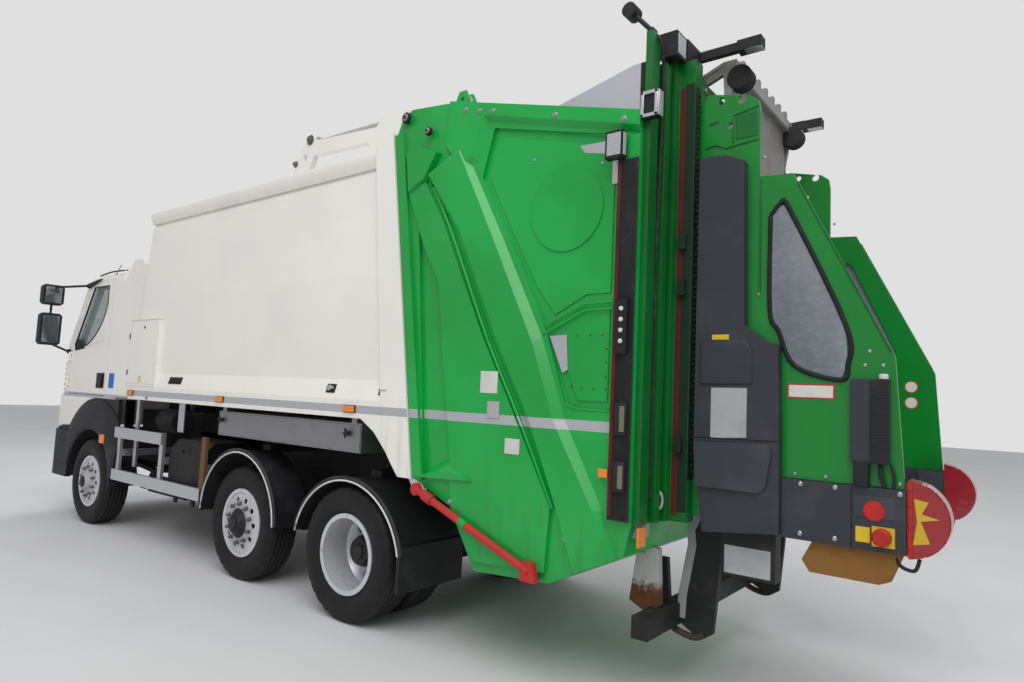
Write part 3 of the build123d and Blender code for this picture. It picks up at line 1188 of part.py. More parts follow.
# Lift carriage, which runs down between the posts, and the chair that tips on it
carriage_rear = 150
carriage_front = 12
carriage_x = (tail_rear - carriage_rear, tail_rear - carriage_front)
carriage_half = 790
pad_depth = 40
carriage_z = (3480, 3700)
tip_back = 75                # from the tailgate's rear face to the pivot
tip_pivot = (tail_rear - tip_back, 3760)
tip_radius = 20
ear_y = (610, 640)
arm_y = (570, 600)
chair_beam_back = (305, 225)
chair_beam = (tail_rear - chair_beam_back[0], tail_rear - chair_beam_back[1])
chair_beam_z = (3780, 3860)
chair_half = 600
roller_radius = 72
roller_length = 80
roller_place_offset = 325
roller_place = (tail_rear - roller_place_offset, 3740)
tooth_wide = 40
tooth_long = 30
tooth_high = 46
chair_plate_back = (263, 239)
chair_plate = (tail_rear - chair_plate_back[0], tail_rear - chair_plate_back[1])
chair_plate_half = 560
chair_plate_low = 2950
tooth_count = 7
with BuildPart() as lift_carriage:
    block(carriage_x, (-carriage_half, carriage_half), carriage_z)
    block((carriage_x[0] + pad_depth, carriage_x[1] - pad_depth), (seat_gap - post_b[0], post_b[0] - seat_gap), (carriage_z[0] + pad_depth, carriage_z[1] - pad_depth))
    for _, sign in SIDES:
        low, high = sorted((sign * ear_y[0], sign * ear_y[1]))
        side_plate([(carriage_x[0] + 2 * tip_radius, carriage_z[1]), (carriage_x[1] - 2 * tip_radius, carriage_z[1]), (tip_pivot[0] + 2 * tip_radius, tip_pivot[1]),
                    (tip_pivot[0] + tip_radius, tip_pivot[1] + 1.7 * tip_radius), (tip_pivot[0] - tip_radius, tip_pivot[1] + 1.7 * tip_radius),
                    (tip_pivot[0] - 2 * tip_radius, tip_pivot[1])], low, high)
        low, high = sorted((sign * (arm_y[0] - tip_radius), sign * ear_y[1]))
        cross_pin(tip_pivot[0], tip_pivot[1], low, high, tip_radius)
finish(lift_carriage, "lift_carriage")
with BuildPart() as lift_chair:
    for _, sign in SIDES:
        low, high = sorted((sign * arm_y[0], sign * arm_y[1]))
        side_plate([(tip_pivot[0] + 2 * tip_radius, tip_pivot[1] - tip_radius), (tip_pivot[0] + 2 * tip_radius, tip_pivot[1] + tip_radius),
                    (tip_pivot[0], tip_pivot[1] + 2 * tip_radius), (chair_beam[1], chair_beam_z[1]), (chair_beam[0], chair_beam_z[1]), (chair_beam[0], chair_beam_z[0]),
                    (chair_plate[0], chair_plate_low + chair_half), (chair_plate[1], chair_plate_low + chair_half), (chair_beam[1], chair_beam_z[0]),
                    (tip_pivot[0], tip_pivot[1] - 2 * tip_radius)], low, high)
        cross_pin(tip_pivot[0], tip_pivot[1], low - overrun, high + overrun, tip_radius + running_gap, mode=Mode.SUBTRACT)
    block(chair_beam, (-chair_half, chair_half), chair_beam_z)
    for _, sign in SIDES:
        low, high = sorted((sign * (chair_half - roller_length), sign * chair_half))
        cross_pin(roller_place[0], roller_place[1], low, high, roller_radius)
    tooth_pitch = 2 * (chair_half - roller_length) / tooth_count
    for row in range(tooth_count):
        middle = (row + 0.5) * tooth_pitch - tooth_count * tooth_pitch / 2
        block((chair_beam[0], chair_beam[0] + tooth_long), (middle - tooth_wide / 2, middle + tooth_wide / 2),
              (chair_beam_z[1] - tooth_long, chair_beam_z[1] + tooth_high))
    block(chair_plate, (-chair_plate_half, chair_plate_half), (chair_plate_low, chair_beam_z[0]))
finish(lift_chair, "lift_chair")

# Black fittings: flood and work lamps, lamp arms, stalk lamps, switch boxes, underrun arms, plate holder and flaps
lamp_arm_y = (665, 705)
lamp_arm_z = (3852, 3905)
lamp_arm_back = 375
lamp_head_back = 497
lamp_head_long = 142
lamp_arm_front = 20
lamp_arm_x = (tail_rear - lamp_arm_back, tail_rear + lamp_arm_front)
lamp_head_x = (tail_rear - lamp_head_back, tail_rear - lamp_head_back + lamp_head_long)
lamp_head_y = (655, 735)
lamp_head_z = (3835, 3900)
arm_post = 60
stalk_y = (1150, 1180)
stalk_foot_z = 3850
stalk_head_z = 4005
stalk_rise_x = 110
stalk_radius = 14
stalk_lamp = 44
flood_x_offset = 115
flood_x = (tail_rear - flood_x_offset, tail_rear)
flood_y = (912, 1040)
flood_top = 3900
light_x_offsets = (110, 5)
light_x = (tail_rear - light_x_offsets[0], tail_rear - light_x_offsets[1])
light_y = (1200, 1250)
light_z = (3310, 3460)
work_x_offsets = (80, 190)
work_x = (tail_rear + work_x_offsets[0], tail_rear + work_x_offsets[1])
work_gap = 15
work_wide = 45
work_y = (tail_open + sheet_lift + work_gap, tail_open + sheet_lift + work_gap + work_wide)
work_z = (3095, 3255)
work_foot_z = (3110, 3190)
switch_x_offsets = (27, 95)
switch_x = (tail_rear + switch_x_offsets[0], tail_rear + switch_x_offsets[1])
switch_deep = 33
switch_z = (1986, 2287)
underrun_y = (610, 650)
underrun_x_offsets = (296, 50)
underrun_x = (tail_rear - underrun_x_offsets[0], tail_rear - underrun_x_offsets[1])
underrun_z = (367, 1150)
underrun_shares = ((0.4919, 1), (0, 0.9361), (0, 0.8748), (0.0691, 0.4968), (0.2073, 0.0575), (0.4959, 0),
        (0.9553, 0.0805), (1, 0.0932), (1, 0.2605), (0.9187, 0.2976), (0.6992, 0.6794),
        (0.7358, 0.8008), (1, 0.8889), (1, 1))
bracket_plate_x_offsets = (24, 163)
bracket_plate_x = (tail_rear + bracket_plate_x_offsets[0], tail_rear + bracket_plate_x_offsets[1])
bracket_plate_z = (520, 794)
bracket_plate_shares = ((0, 0.073), (0.1439, 1), (0.7266, 1), (1, 0.1131), (1, 0), (0, 0))
underrun_bar_z = (430, 550)
underrun_bar_x = (tail_rear - sill_depth, tail_rear + sill_depth)
underrun_bar_half = 1080
holder_x_offsets = (635, 340)
holder_x = (tail_rear - holder_x_offsets[0], tail_rear - holder_x_offsets[1])
holder_y_offsets = (120, 25)
holder_y = (shield_half - holder_y_offsets[0], shield_half - holder_y_offsets[1])
holder_z = (798, 1100)
skirt_inset = 14
skirt_long = 457
skirt_x = (shield_x[0] + skirt_inset, shield_x[0] + skirt_inset + skirt_long)
skirt_z = (904, 1062)
skirt_shares = ((0, 1), (0.1204, 0.1519), (0.2319, 0), (0.9234, 0.0127), (1, 0.3544), (0.8884, 1))
skirt_y_offsets = (24, 8)
skirt_y = (shield_half - skirt_y_offsets[0], shield_half - skirt_y_offsets[1])
with BuildPart() as lift_fittings:
    for _, sign in SIDES:
        block(lamp_arm_x, sorted(sign * y for y in lamp_arm_y), lamp_arm_z)
        block(lamp_head_x, sorted(sign * y for y in lamp_head_y), lamp_head_z)
        block((tail_rear - 2 * arm_post, tail_rear - arm_post), sorted((sign * lamp_arm_y[1], sign * post_b[1])),
              (post_b_top, lamp_arm_z[1]))
        block(flood_x, sorted(sign * y for y in flood_y), (side_posts[2][3], flood_top))
        head = (tail_rear + stalk_rise_x, sign * stalk_y[1], stalk_head_z)
        bar((tail_rear - stalk_radius, sign * stalk_y[0], stalk_foot_z + stalk_radius), head, stalk_radius)
        block((tail_rear - 2 * stalk_radius, tail_rear), sorted(sign * (stalk_y[0] + side * 2 * stalk_radius) for side in (-1, 1)),
              (stalk_foot_z, stalk_foot_z + 2 * stalk_radius))
        bar((head[0], head[1] - stalk_lamp, head[2]), (head[0], head[1] + stalk_lamp, head[2]), stalk_lamp)
        block(light_x, sorted(sign * y for y in light_y), light_z)
        block(work_x, sorted(sign * y for y in work_y), work_z)
        block(work_x, sorted((sign * (tail_open + sheet_lift), sign * work_y[1])), work_foot_z)
        low = tail_open + sheet_lift + strip_thick
        block(switch_x, sorted((sign * low, sign * (low + switch_deep))), switch_z)
        low, high = sorted(sign * y for y in underrun_y)
        side_plate(spread(underrun_shares, underrun_x, underrun_z), low, high)
        side_plate(spread(bracket_plate_shares, bracket_plate_x, bracket_plate_z), low, high)
        block(holder_x, sorted(sign * y for y in holder_y), holder_z)
        side_plate(spread(skirt_shares, skirt_x, skirt_z), *sorted(sign * y for y in skirt_y))
    block(underrun_bar_x, (-underrun_bar_half, underrun_bar_half), underrun_bar_z)
finish(lift_fittings, "lift_fittings")
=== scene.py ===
from math import cos, hypot, pi, radians, sin
import bpy
import bmesh
from mathutils import Matrix, Vector


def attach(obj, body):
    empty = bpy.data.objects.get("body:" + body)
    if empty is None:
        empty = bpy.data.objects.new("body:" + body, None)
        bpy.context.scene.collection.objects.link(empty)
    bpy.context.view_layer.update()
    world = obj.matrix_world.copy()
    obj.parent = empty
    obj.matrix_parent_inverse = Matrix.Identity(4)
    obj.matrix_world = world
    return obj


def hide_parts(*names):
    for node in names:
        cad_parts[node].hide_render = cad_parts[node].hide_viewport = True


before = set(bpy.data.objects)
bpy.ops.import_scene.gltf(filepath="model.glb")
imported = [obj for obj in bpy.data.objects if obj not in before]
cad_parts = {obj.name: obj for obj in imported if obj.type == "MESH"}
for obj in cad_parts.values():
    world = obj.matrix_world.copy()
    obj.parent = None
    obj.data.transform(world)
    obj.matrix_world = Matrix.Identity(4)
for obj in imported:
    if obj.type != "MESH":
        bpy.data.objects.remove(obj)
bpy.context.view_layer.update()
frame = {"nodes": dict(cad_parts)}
nodes = frame["nodes"]
driveX = -1.1725            # drive axle, from the middle of the truck
pusherAxle, frontAxle = 1.53, 4.86
axleZ = 0.495
sides = {"left": 1, "right": -1}
across = (0, 1, 0)


def maths(operation, reflected=False):
    def method(self, other=0.0):
        return self.work(operation, *((other, self) if reflected else (self, other)))
    return method


# a shader socket that can stand in sums
class Wire:
    __add__, __radd__ = maths("ADD"), maths("ADD", True)
    __sub__, __rsub__ = maths("SUBTRACT"), maths("SUBTRACT", True)
    __mul__, __pow__ = maths("MULTIPLY"), maths("POWER")
    __gt__, __lt__, __abs__ = maths("GREATER_THAN"), maths("LESS_THAN"), maths("ABSOLUTE")
    sine = maths("SINE")

    def __init__(self, nodes, socket):
        self.nodes, self.socket = nodes, socket

    def work(self, operation, first, second=0.0):
        return self.nodes.add("ShaderNodeMath", {"operation": operation}, {0: first, 1: second})

    def ramp(self, low, high):  # 0 below low, 1 above high, smooth between
        return self.nodes.add("ShaderNodeMapRange", {"interpolation_type": "SMOOTHSTEP"},
                              {"Value": self, "From Min": low, "From Max": high})

    def between(self, low, high):
        return (self > low) * (self < high)


# the nodes of a material or of the world
class Nodes:
    def __init__(self, tree):
        self.tree = tree

    def add(self, kind, settings, inputs, output=0):
        node = self.tree.nodes.new(kind)
        for key, value in settings.items():
            setattr(node, key, value)
        for key, value in inputs.items():
            self.feed(node.inputs[key], value)
        if isinstance(output, tuple):
            return [Wire(self, node.outputs[key]) for key in output]
        return Wire(self, node.outputs[output])

    def feed(self, socket, value):
        if isinstance(value, Wire):
            self.tree.links.new(value.socket, socket)
        else:
            socket.default_value = (*value, 1.0) if socket.type == "RGBA" else value


class Finish(Nodes):
    def __init__(self, name):
        self.material = bpy.data.materials.new(name)
        self.material.use_nodes = True
        super().__init__(self.material.node_tree)
        self.shader = self.tree.nodes["Principled BSDF"]
        self.place, facing = self.add("ShaderNodeTexCoord", {}, {}, ("Object", "Normal"))
        self.x, self.y, self.z = self.add("ShaderNodeSeparateXYZ", {}, {0: self.place}, (0, 1, 2))
        self.nz, self.ny = self.add("ShaderNodeSeparateXYZ", {}, {0: facing}, (2, 1))

    def noise(self, scale, detail=3.0, roughness=0.55, stretch=(1, 1, 1)):
        place = self.add("ShaderNodeVectorMath", {"operation": "MULTIPLY"}, {0: self.place, 1: stretch})
        return self.add("ShaderNodeTexNoise", {},
                        {"Vector": place, "Scale": scale, "Detail": detail, "Roughness": roughness})

    def cells(self, scale):
        return self.add("ShaderNodeTexVoronoi", {}, {"Vector": self.place, "Scale": scale}, "Distance")

    def mix(self, factor, first, second):
        return self.add("ShaderNodeMix", {"data_type": "RGBA"}, {0: factor, 6: first, 7: second}, 2)

    def bump(self, height, strength=0.2, distance=0.002, rounding=0.0):
        inputs = {"Height": height, "Strength": strength, "Distance": distance}
        if rounding:
            inputs["Normal"] = self.add("ShaderNodeBevel", {"samples": 4}, {"Radius": rounding})
        return self.add("ShaderNodeBump", {}, inputs)

    def set(self, **values):
        for key, value in values.items():
            self.feed(self.shader.inputs[key.replace("_", " ")], value)


paints = {
    "white": {"colour": (0.89, 0.87, 0.81), "shade": (0.84, 0.82, 0.77), "dirt": (0.26, 0.24, 0.2),
              "gloss": 0.26, "coat": 0.4},
    "green": {"colour": (0.003, 0.39, 0.06), "shade": (0.002, 0.31, 0.042), "dirt": (0.03, 0.11, 0.03),
              "gloss": 0.26, "coat": 0.35},
    "deepGreen": {"colour": (0.001, 0.15, 0.02), "shade": (0.001, 0.1, 0.012), "dirt": (0.01, 0.03, 0.01),
                  "gloss": 0.3},
    "stripe": {"colour": (0.42, 0.43, 0.45), "height": (1.547, 1.607)},
}


# coach paint with orange peel, streaks from rain and road dirt low down
def coachPaint(f, paint, dirtTop, stripe=False, rounding=0.006):
    clouds = f.noise(1.3, 4.0)
    streaks = f.noise(3.0, 5.0, 0.6, (6, 6, 0.5))
    specks = f.noise(55.0, 2.0)
    colour = f.mix(clouds.ramp(0.35, 0.75), paint["colour"], paint["shade"])
    if stripe:
        line = f.z.between(*paint.get("stripe", paints["stripe"]["height"])) * (abs(f.ny) > 0.6)
        colour = f.mix(line, colour, paints["stripe"]["colour"])
    low = 1 - f.z.ramp(dirtTop - 0.9, dirtTop)
    dirt = low * streaks.ramp(0.45, 0.8) * 0.4 + streaks.ramp(0.66, 0.9) * 0.06
    dirt = dirt + low * specks.ramp(0.62, 0.74) * 0.25
    colour = f.mix(dirt.work("MINIMUM", dirt, 0.8), colour, paint["dirt"])
    rough = paint["gloss"] + dirt * 0.4 + f.noise(9.0, 3.0) * 0.08
    f.set(Base_Color=colour, Roughness=rough, Coat_Weight=paint.get("coat", 0.2), Coat_Roughness=0.2,
          Specular_IOR_Level=0.4, Normal=f.bump(f.noise(160.0, 2.0) * 0.3 + clouds * 0.7, 0.06, 0.004, rounding))


# black or grey chassis paint with dust on what faces up
def chassisPaint(f, colour, dust, gloss=0.5, metal=0.0, rounding=0.004):
    patches = f.noise(6.0, 5.0, 0.65)
    up = f.nz.ramp(0.1, 0.9)
    grey = patches.ramp(0.5, 0.8) * 0.45 + up * patches.ramp(0.3, 0.7) * 0.35
    fine = f.noise(90.0, 3.0)
    f.set(Base_Color=f.mix(grey, colour, dust), Roughness=gloss + grey * 0.3 + fine * 0.1, Metallic=metal,
          Specular_IOR_Level=0.35, Normal=f.bump(fine * 0.5 + patches * 0.5, 0.18, 0.003, rounding))


# paint with rust that takes over below a height
def rustedPaint(f, colour, heights):
    flakes = f.noise(26.0, 5.0, 0.7)
    rust = (flakes * 0.7 + 0.65 - f.z.ramp(*heights) * 0.7).ramp(0.52, 0.72)
    brown = f.mix(f.noise(60.0), (0.16, 0.055, 0.015), (0.05, 0.022, 0.012))
    f.set(Base_Color=f.mix(rust, colour, brown), Roughness=0.45 + rust * 0.4,
          Normal=f.bump(flakes, 0.3, 0.003, 0.004))


# bare metal with brush lines along one direction
def brushedMetal(f, colour, gloss, stretch=(1, 1, 1), stained=0.3, stain=(0.22, 0.2, 0.18)):
    lines = f.noise(60.0, 3.0, 0.6, stretch)
    blots = f.noise(5.0, 5.0, 0.65)
    worn = blots.ramp(0.55, 0.8) * stained
    tone = f.mix(lines, [part * 0.86 for part in colour], colour)
    f.set(Base_Color=f.mix(worn, tone, stain), Roughness=gloss + lines * 0.16 + worn * 0.35, Metallic=0.9,
          Normal=f.bump(lines, 0.12, 0.001, 0.003))


# moulded plastic with a fine grain
def mouldedPlastic(f, colour, faded, gloss=0.45, grain=420.0, rounding=0.005):
    grains = f.cells(grain)
    fade = f.noise(4.0, 4.0)
    f.set(Base_Color=f.mix(fade.ramp(0.45, 0.75), colour, faded), Roughness=gloss + fade * 0.15 + grains * 0.1,
          Specular_IOR_Level=0.35, Normal=f.bump(grains, 0.12, 0.0012, rounding))


def rubber(f, colour, dust, dusty=0.4):
    fine = f.noise(140.0, 3.0)
    blots = f.noise(7.0, 5.0, 0.7)
    grey = blots.ramp(0.45, 0.75) * dusty
    f.set(Base_Color=f.mix(grey, colour, dust), Roughness=0.72 + grey * 0.2, Specular_IOR_Level=0.3,
          Normal=f.bump(fine, 0.2, 0.0015, 0.003))


# tyre rubber: ribs round the side wall are worked out from the distance to the axle
def tyreRubber(f, axleX):
    dx, dz = f.x - axleX, f.z - axleZ
    radius = (dx * dx + dz * dz) ** 0.5
    ribs = (radius * 420.0).sine() * radius.between(0.4, 0.455) * 0.5
    mud = f.noise(11.0, 5.0, 0.7).ramp(0.5, 0.85) * 0.3
    tread = radius.ramp(0.478, 0.492)
    colour = f.mix(mud + tread * 0.2, (0.009, 0.009, 0.01), (0.065, 0.06, 0.055))
    f.set(Base_Color=colour, Roughness=0.6 + mud * 0.3, Specular_IOR_Level=0.3,
          Normal=f.bump(ribs + f.noise(160.0, 3.0) * 0.4, 0.25, 0.002))


# silver wheel paint, darker towards the hub with brake dust and with painted shade of the deep dish
def wheelPaint(f, axleX, core, hubDustAndShade):
    dx, dz = f.x - axleX, f.z - axleZ
    radius = (dx * dx + dz * dz) ** 0.5
    # darkening towards the hub: partly brake dust, partly painted shade of the dish, strongest on the drive wheels
    dust = (1 - radius.ramp(0.1, 0.3)) * hubDustAndShade + f.noise(14.0, 5.0, 0.7).ramp(0.5, 0.8) * 0.4
    colour = f.mix(dust, (0.66, 0.66, 0.7), (0.1, 0.09, 0.085))
    colour = f.mix(1 - radius.ramp(core - 0.006, core + 0.004), colour, (0.018, 0.017, 0.018))
    f.set(Base_Color=colour, Roughness=0.32 + dust * 0.35, Metallic=0.35,
          Normal=f.bump(f.noise(60.0, 3.0), 0.12, 0.002, 0.003))


def glass(f, tint, alpha, gloss=0.04, haze=0.0):
    scratches = f.noise(30.0, 4.0, 0.6, (1, 1, 5))
    f.set(Base_Color=f.mix(scratches.ramp(0.5, 0.8) * haze, tint, (0.6, 0.62, 0.62)),
          Roughness=gloss + scratches * 0.05 * (1 + haze * 6),
          Alpha=alpha + scratches.ramp(0.45, 0.8) * haze * 0.4, IOR=1.5)


# clear plastic, clouded by years of washing
def hazyPane(f, dark, pale):
    cloud = f.noise(1.6, 3.0, 0.5, (1, 1, 0.5))
    fine = f.noise(26.0, 4.0, 0.6, (1, 1, 2))
    f.set(Base_Color=f.mix(cloud.ramp(0.35, 0.65) * 0.7 + fine.ramp(0.4, 0.8) * 0.3, dark, pale),
          Roughness=0.18 + cloud * 0.2 + fine * 0.06, Alpha=0.86 + fine * 0.08,
          Normal=f.bump(cloud, 0.1, 0.004))


# lamp lens with ribs inside
def lens(f, colour, dark, depth=0.3):
    ribs = ((f.z + f.y * 0.3) * 620.0).sine()
    f.set(Base_Color=f.mix(ribs.ramp(-0.6, 0.9), dark, colour), Roughness=0.2 + f.noise(20.0) * 0.1, Coat_Weight=0.4,
          Normal=f.bump(ribs, depth, 0.0015))


def cloth(f, colour, shade):
    weave = (f.x * 900.0).sine() * (f.y * 900.0).sine()
    f.set(Base_Color=f.mix(f.noise(5.0).ramp(0.3, 0.7), colour, shade), Roughness=0.85, Sheen_Weight=0.25,
          Normal=f.bump(weave, 0.3, 0.001, 0.01))


def fromAxle(station):  # X of a place given from the drive axle, forward positive
    return driveX + station


pieces = []


# an added piece, put together from solids in one mesh
# x is given from the drive axle, y outward from the middle on the piece's own side, z from the ground
class Piece:
    body = "truck"  # what the next pieces ride on

    def __init__(self, name, slot, finish, rounding=0.0, side="", body=None, turns=30.0, replaces=()):
        self.name = f"{name}_{side}" if side else name
        self.body = body or Piece.body
        self.slot, self.finish, self.replaces = slot, finish, replaces
        self.rounding, self.turns = rounding, turns
        self.sign = sides.get(side, 1)
        self.work = bmesh.new()
        pieces.append(self)

    def at(self, x, y, z):
        return Vector((fromAxle(x), self.sign * y, z))

    def loop(self, points):
        return [self.work.verts.new(point) for point in points]

    def bridge(self, first, second, closed=True):
        count = len(first)
        for step in range(count if closed else count - 1):
            after = (step + 1) % count
            self.work.faces.new((first[step], first[after], second[after], second[step]))

    def prism(self, outline, place):  # place puts a point of the outline at the near or the far end
        near, far = ([place(a, b, end) for a, b in outline] for end in (0, 1))
        near, far = self.loop(near), self.loop(far)
        self.bridge(near, far)
        self.work.faces.new(near[::-1])
        self.work.faces.new(far)

    def plate(self, outline, low, high):  # outline in side view
        ends = sorted((self.sign * low, self.sign * high))
        self.prism(outline, lambda x, z, end: (fromAxle(x), ends[end], z))

    def bar(self, section, rear, front):  # section seen from behind
        self.prism(section, lambda y, z, end: (fromAxle((rear, front)[end]), self.sign * y, z))

    def block(self, plan, low, high):  # plan seen from above
        self.prism(plan, lambda x, y, end: (fromAxle(x), self.sign * y, (low, high)[end]))

    def box(self, x, y, z):
        self.plate([(x[0], z[0]), (x[1], z[0]), (x[1], z[1]), (x[0], z[1])], *y)

    def frameOf(self, direction):
        direction = Vector(direction).normalized()
        side = direction.cross(Vector((0, 0, 1)))
        if side.length < 0.05:
            side = direction.cross(Vector((1, 0, 0)))
        side.normalize()
        return direction, side, side.cross(direction)

    # profile: distance along, radius
    def turned(self, profile, centre, count=24, direction=across, closed=False, shape=None):
        direction, side, other = self.frameOf((direction[0], self.sign * direction[1], direction[2]))
        rings = []
        for step in range(count):
            angle = 2 * pi * step / count
            ray = cos(angle) * side + sin(angle) * other
            cuts = [shape(step, place) if shape else 0 for place in range(len(profile))]
            rings.append(self.loop([self.at(*centre) + along * direction + (radius - cut) * ray
                                    for (along, radius), cut in zip(profile, cuts)]))
        for step in range(count):
            self.bridge(rings[step], rings[(step + 1) % count], closed)
        if not closed:
            for end in (0, -1):
                if profile[end][1] > 1e-6:
                    self.work.faces.new([ring[end] for ring in rings])

    def studs(self, profile, places, y, count=12):
        for x, z in places:
            self.turned(profile, (x, y, z), count)

    def rod(self, start, end, radius, count=16):
        run = Vector(end) - Vector(start)
        self.turned([(0, radius), (run.length, radius)], start, count, run)

    def bolt(self, centre, radius, length, direction=across):
        self.turned([(0, radius), (length * 0.8, radius), (length, radius * 0.8)], centre, 6, direction)

    def path(self, points, radius, count=10, smooth=6):  # tube along a smooth line through the points
        points = [self.at(*point) for point in points]
        line = []
        for place in range(len(points) - 1):
            before, after = points[max(place - 1, 0)], points[min(place + 2, len(points) - 1)]
            a, b = points[place], points[place + 1]
            for step in range(smooth):
                t = step / smooth
                line.append(0.5 * (2 * a + (b - before) * t + (2 * before - 5 * a + 4 * b - after) * t * t
                                   + (3 * a - before - 3 * b + after) * t ** 3))
        line.append(points[-1])
        rings, last = [], None
        for place, point in enumerate(line):
            run = line[min(place + 1, len(line) - 1)] - line[max(place - 1, 0)]
            direction, side, other = self.frameOf(run)
            if last is not None:
                side = (last - last.dot(direction) * direction).normalized()
                other = direction.cross(side)
            last = side
            angles = [2 * pi * step / count for step in range(count)]
            rings.append(self.loop([point + radius * (cos(angle) * side + sin(angle) * other) for angle in angles]))
        for first, second in zip(rings, rings[1:]):
            self.bridge(first, second)
        self.work.faces.new(rings[0][::-1])
        self.work.faces.new(rings[-1])

    def strip(self, points, width, low, high):  # flat band along a line in side view
        edges = []
        for half in (-0.5 * width, 0.5 * width):
            edge = []
            for place, (x, z) in enumerate(points):
                ahead, behind = points[min(place + 1, len(points) - 1)], points[max(place - 1, 0)]
                run = hypot(ahead[0] - behind[0], ahead[1] - behind[1])
                edge.append((x - half * (ahead[1] - behind[1]) / run, z + half * (ahead[0] - behind[0]) / run))
            edges.append(edge)
        for place in range(len(points) - 1):
            self.plate([edges[0][place], edges[0][place + 1], edges[1][place + 1], edges[1][place]], low, high)

    def done(self):
        bmesh.ops.recalc_face_normals(self.work, faces=self.work.faces)
        mesh = bpy.data.meshes.new(self.name)
        self.work.to_mesh(mesh)
        self.work.free()
        mesh.materials.append(bpy.data.materials[self.finish])
        for face in mesh.polygons:
            face.use_smooth = True
        mesh.set_sharp_from_angle(angle=radians(self.turns))
        piece = bpy.data.objects.new(self.name, mesh)
        bpy.context.scene.collection.objects.link(piece)
        if self.rounding:
            bevel = piece.modifiers.new("rounding", "BEVEL")
            bevel.width = self.rounding
            bevel.segments = 2
            bevel.limit_method = "ANGLE"
            bevel.angle_limit = radians(35)
        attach(piece, self.body)
        if self.replaces:
            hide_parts(*self.replaces)


def eachSide(*turnedPieces):  # turns them to the left side, then to the right
    for sign in sides.values():
        for piece in turnedPieces:
            piece.sign = sign
        yield sign
    for piece in turnedPieces:
        piece.sign = 1


def arcPoints(x, z, radiusX, radiusZ, first, last, steps=24):
    return [(x + radiusX * cos(radians(first + (last - first) * step / steps)),
             z + radiusZ * sin(radians(first + (last - first) * step / steps))) for step in range(steps + 1)]


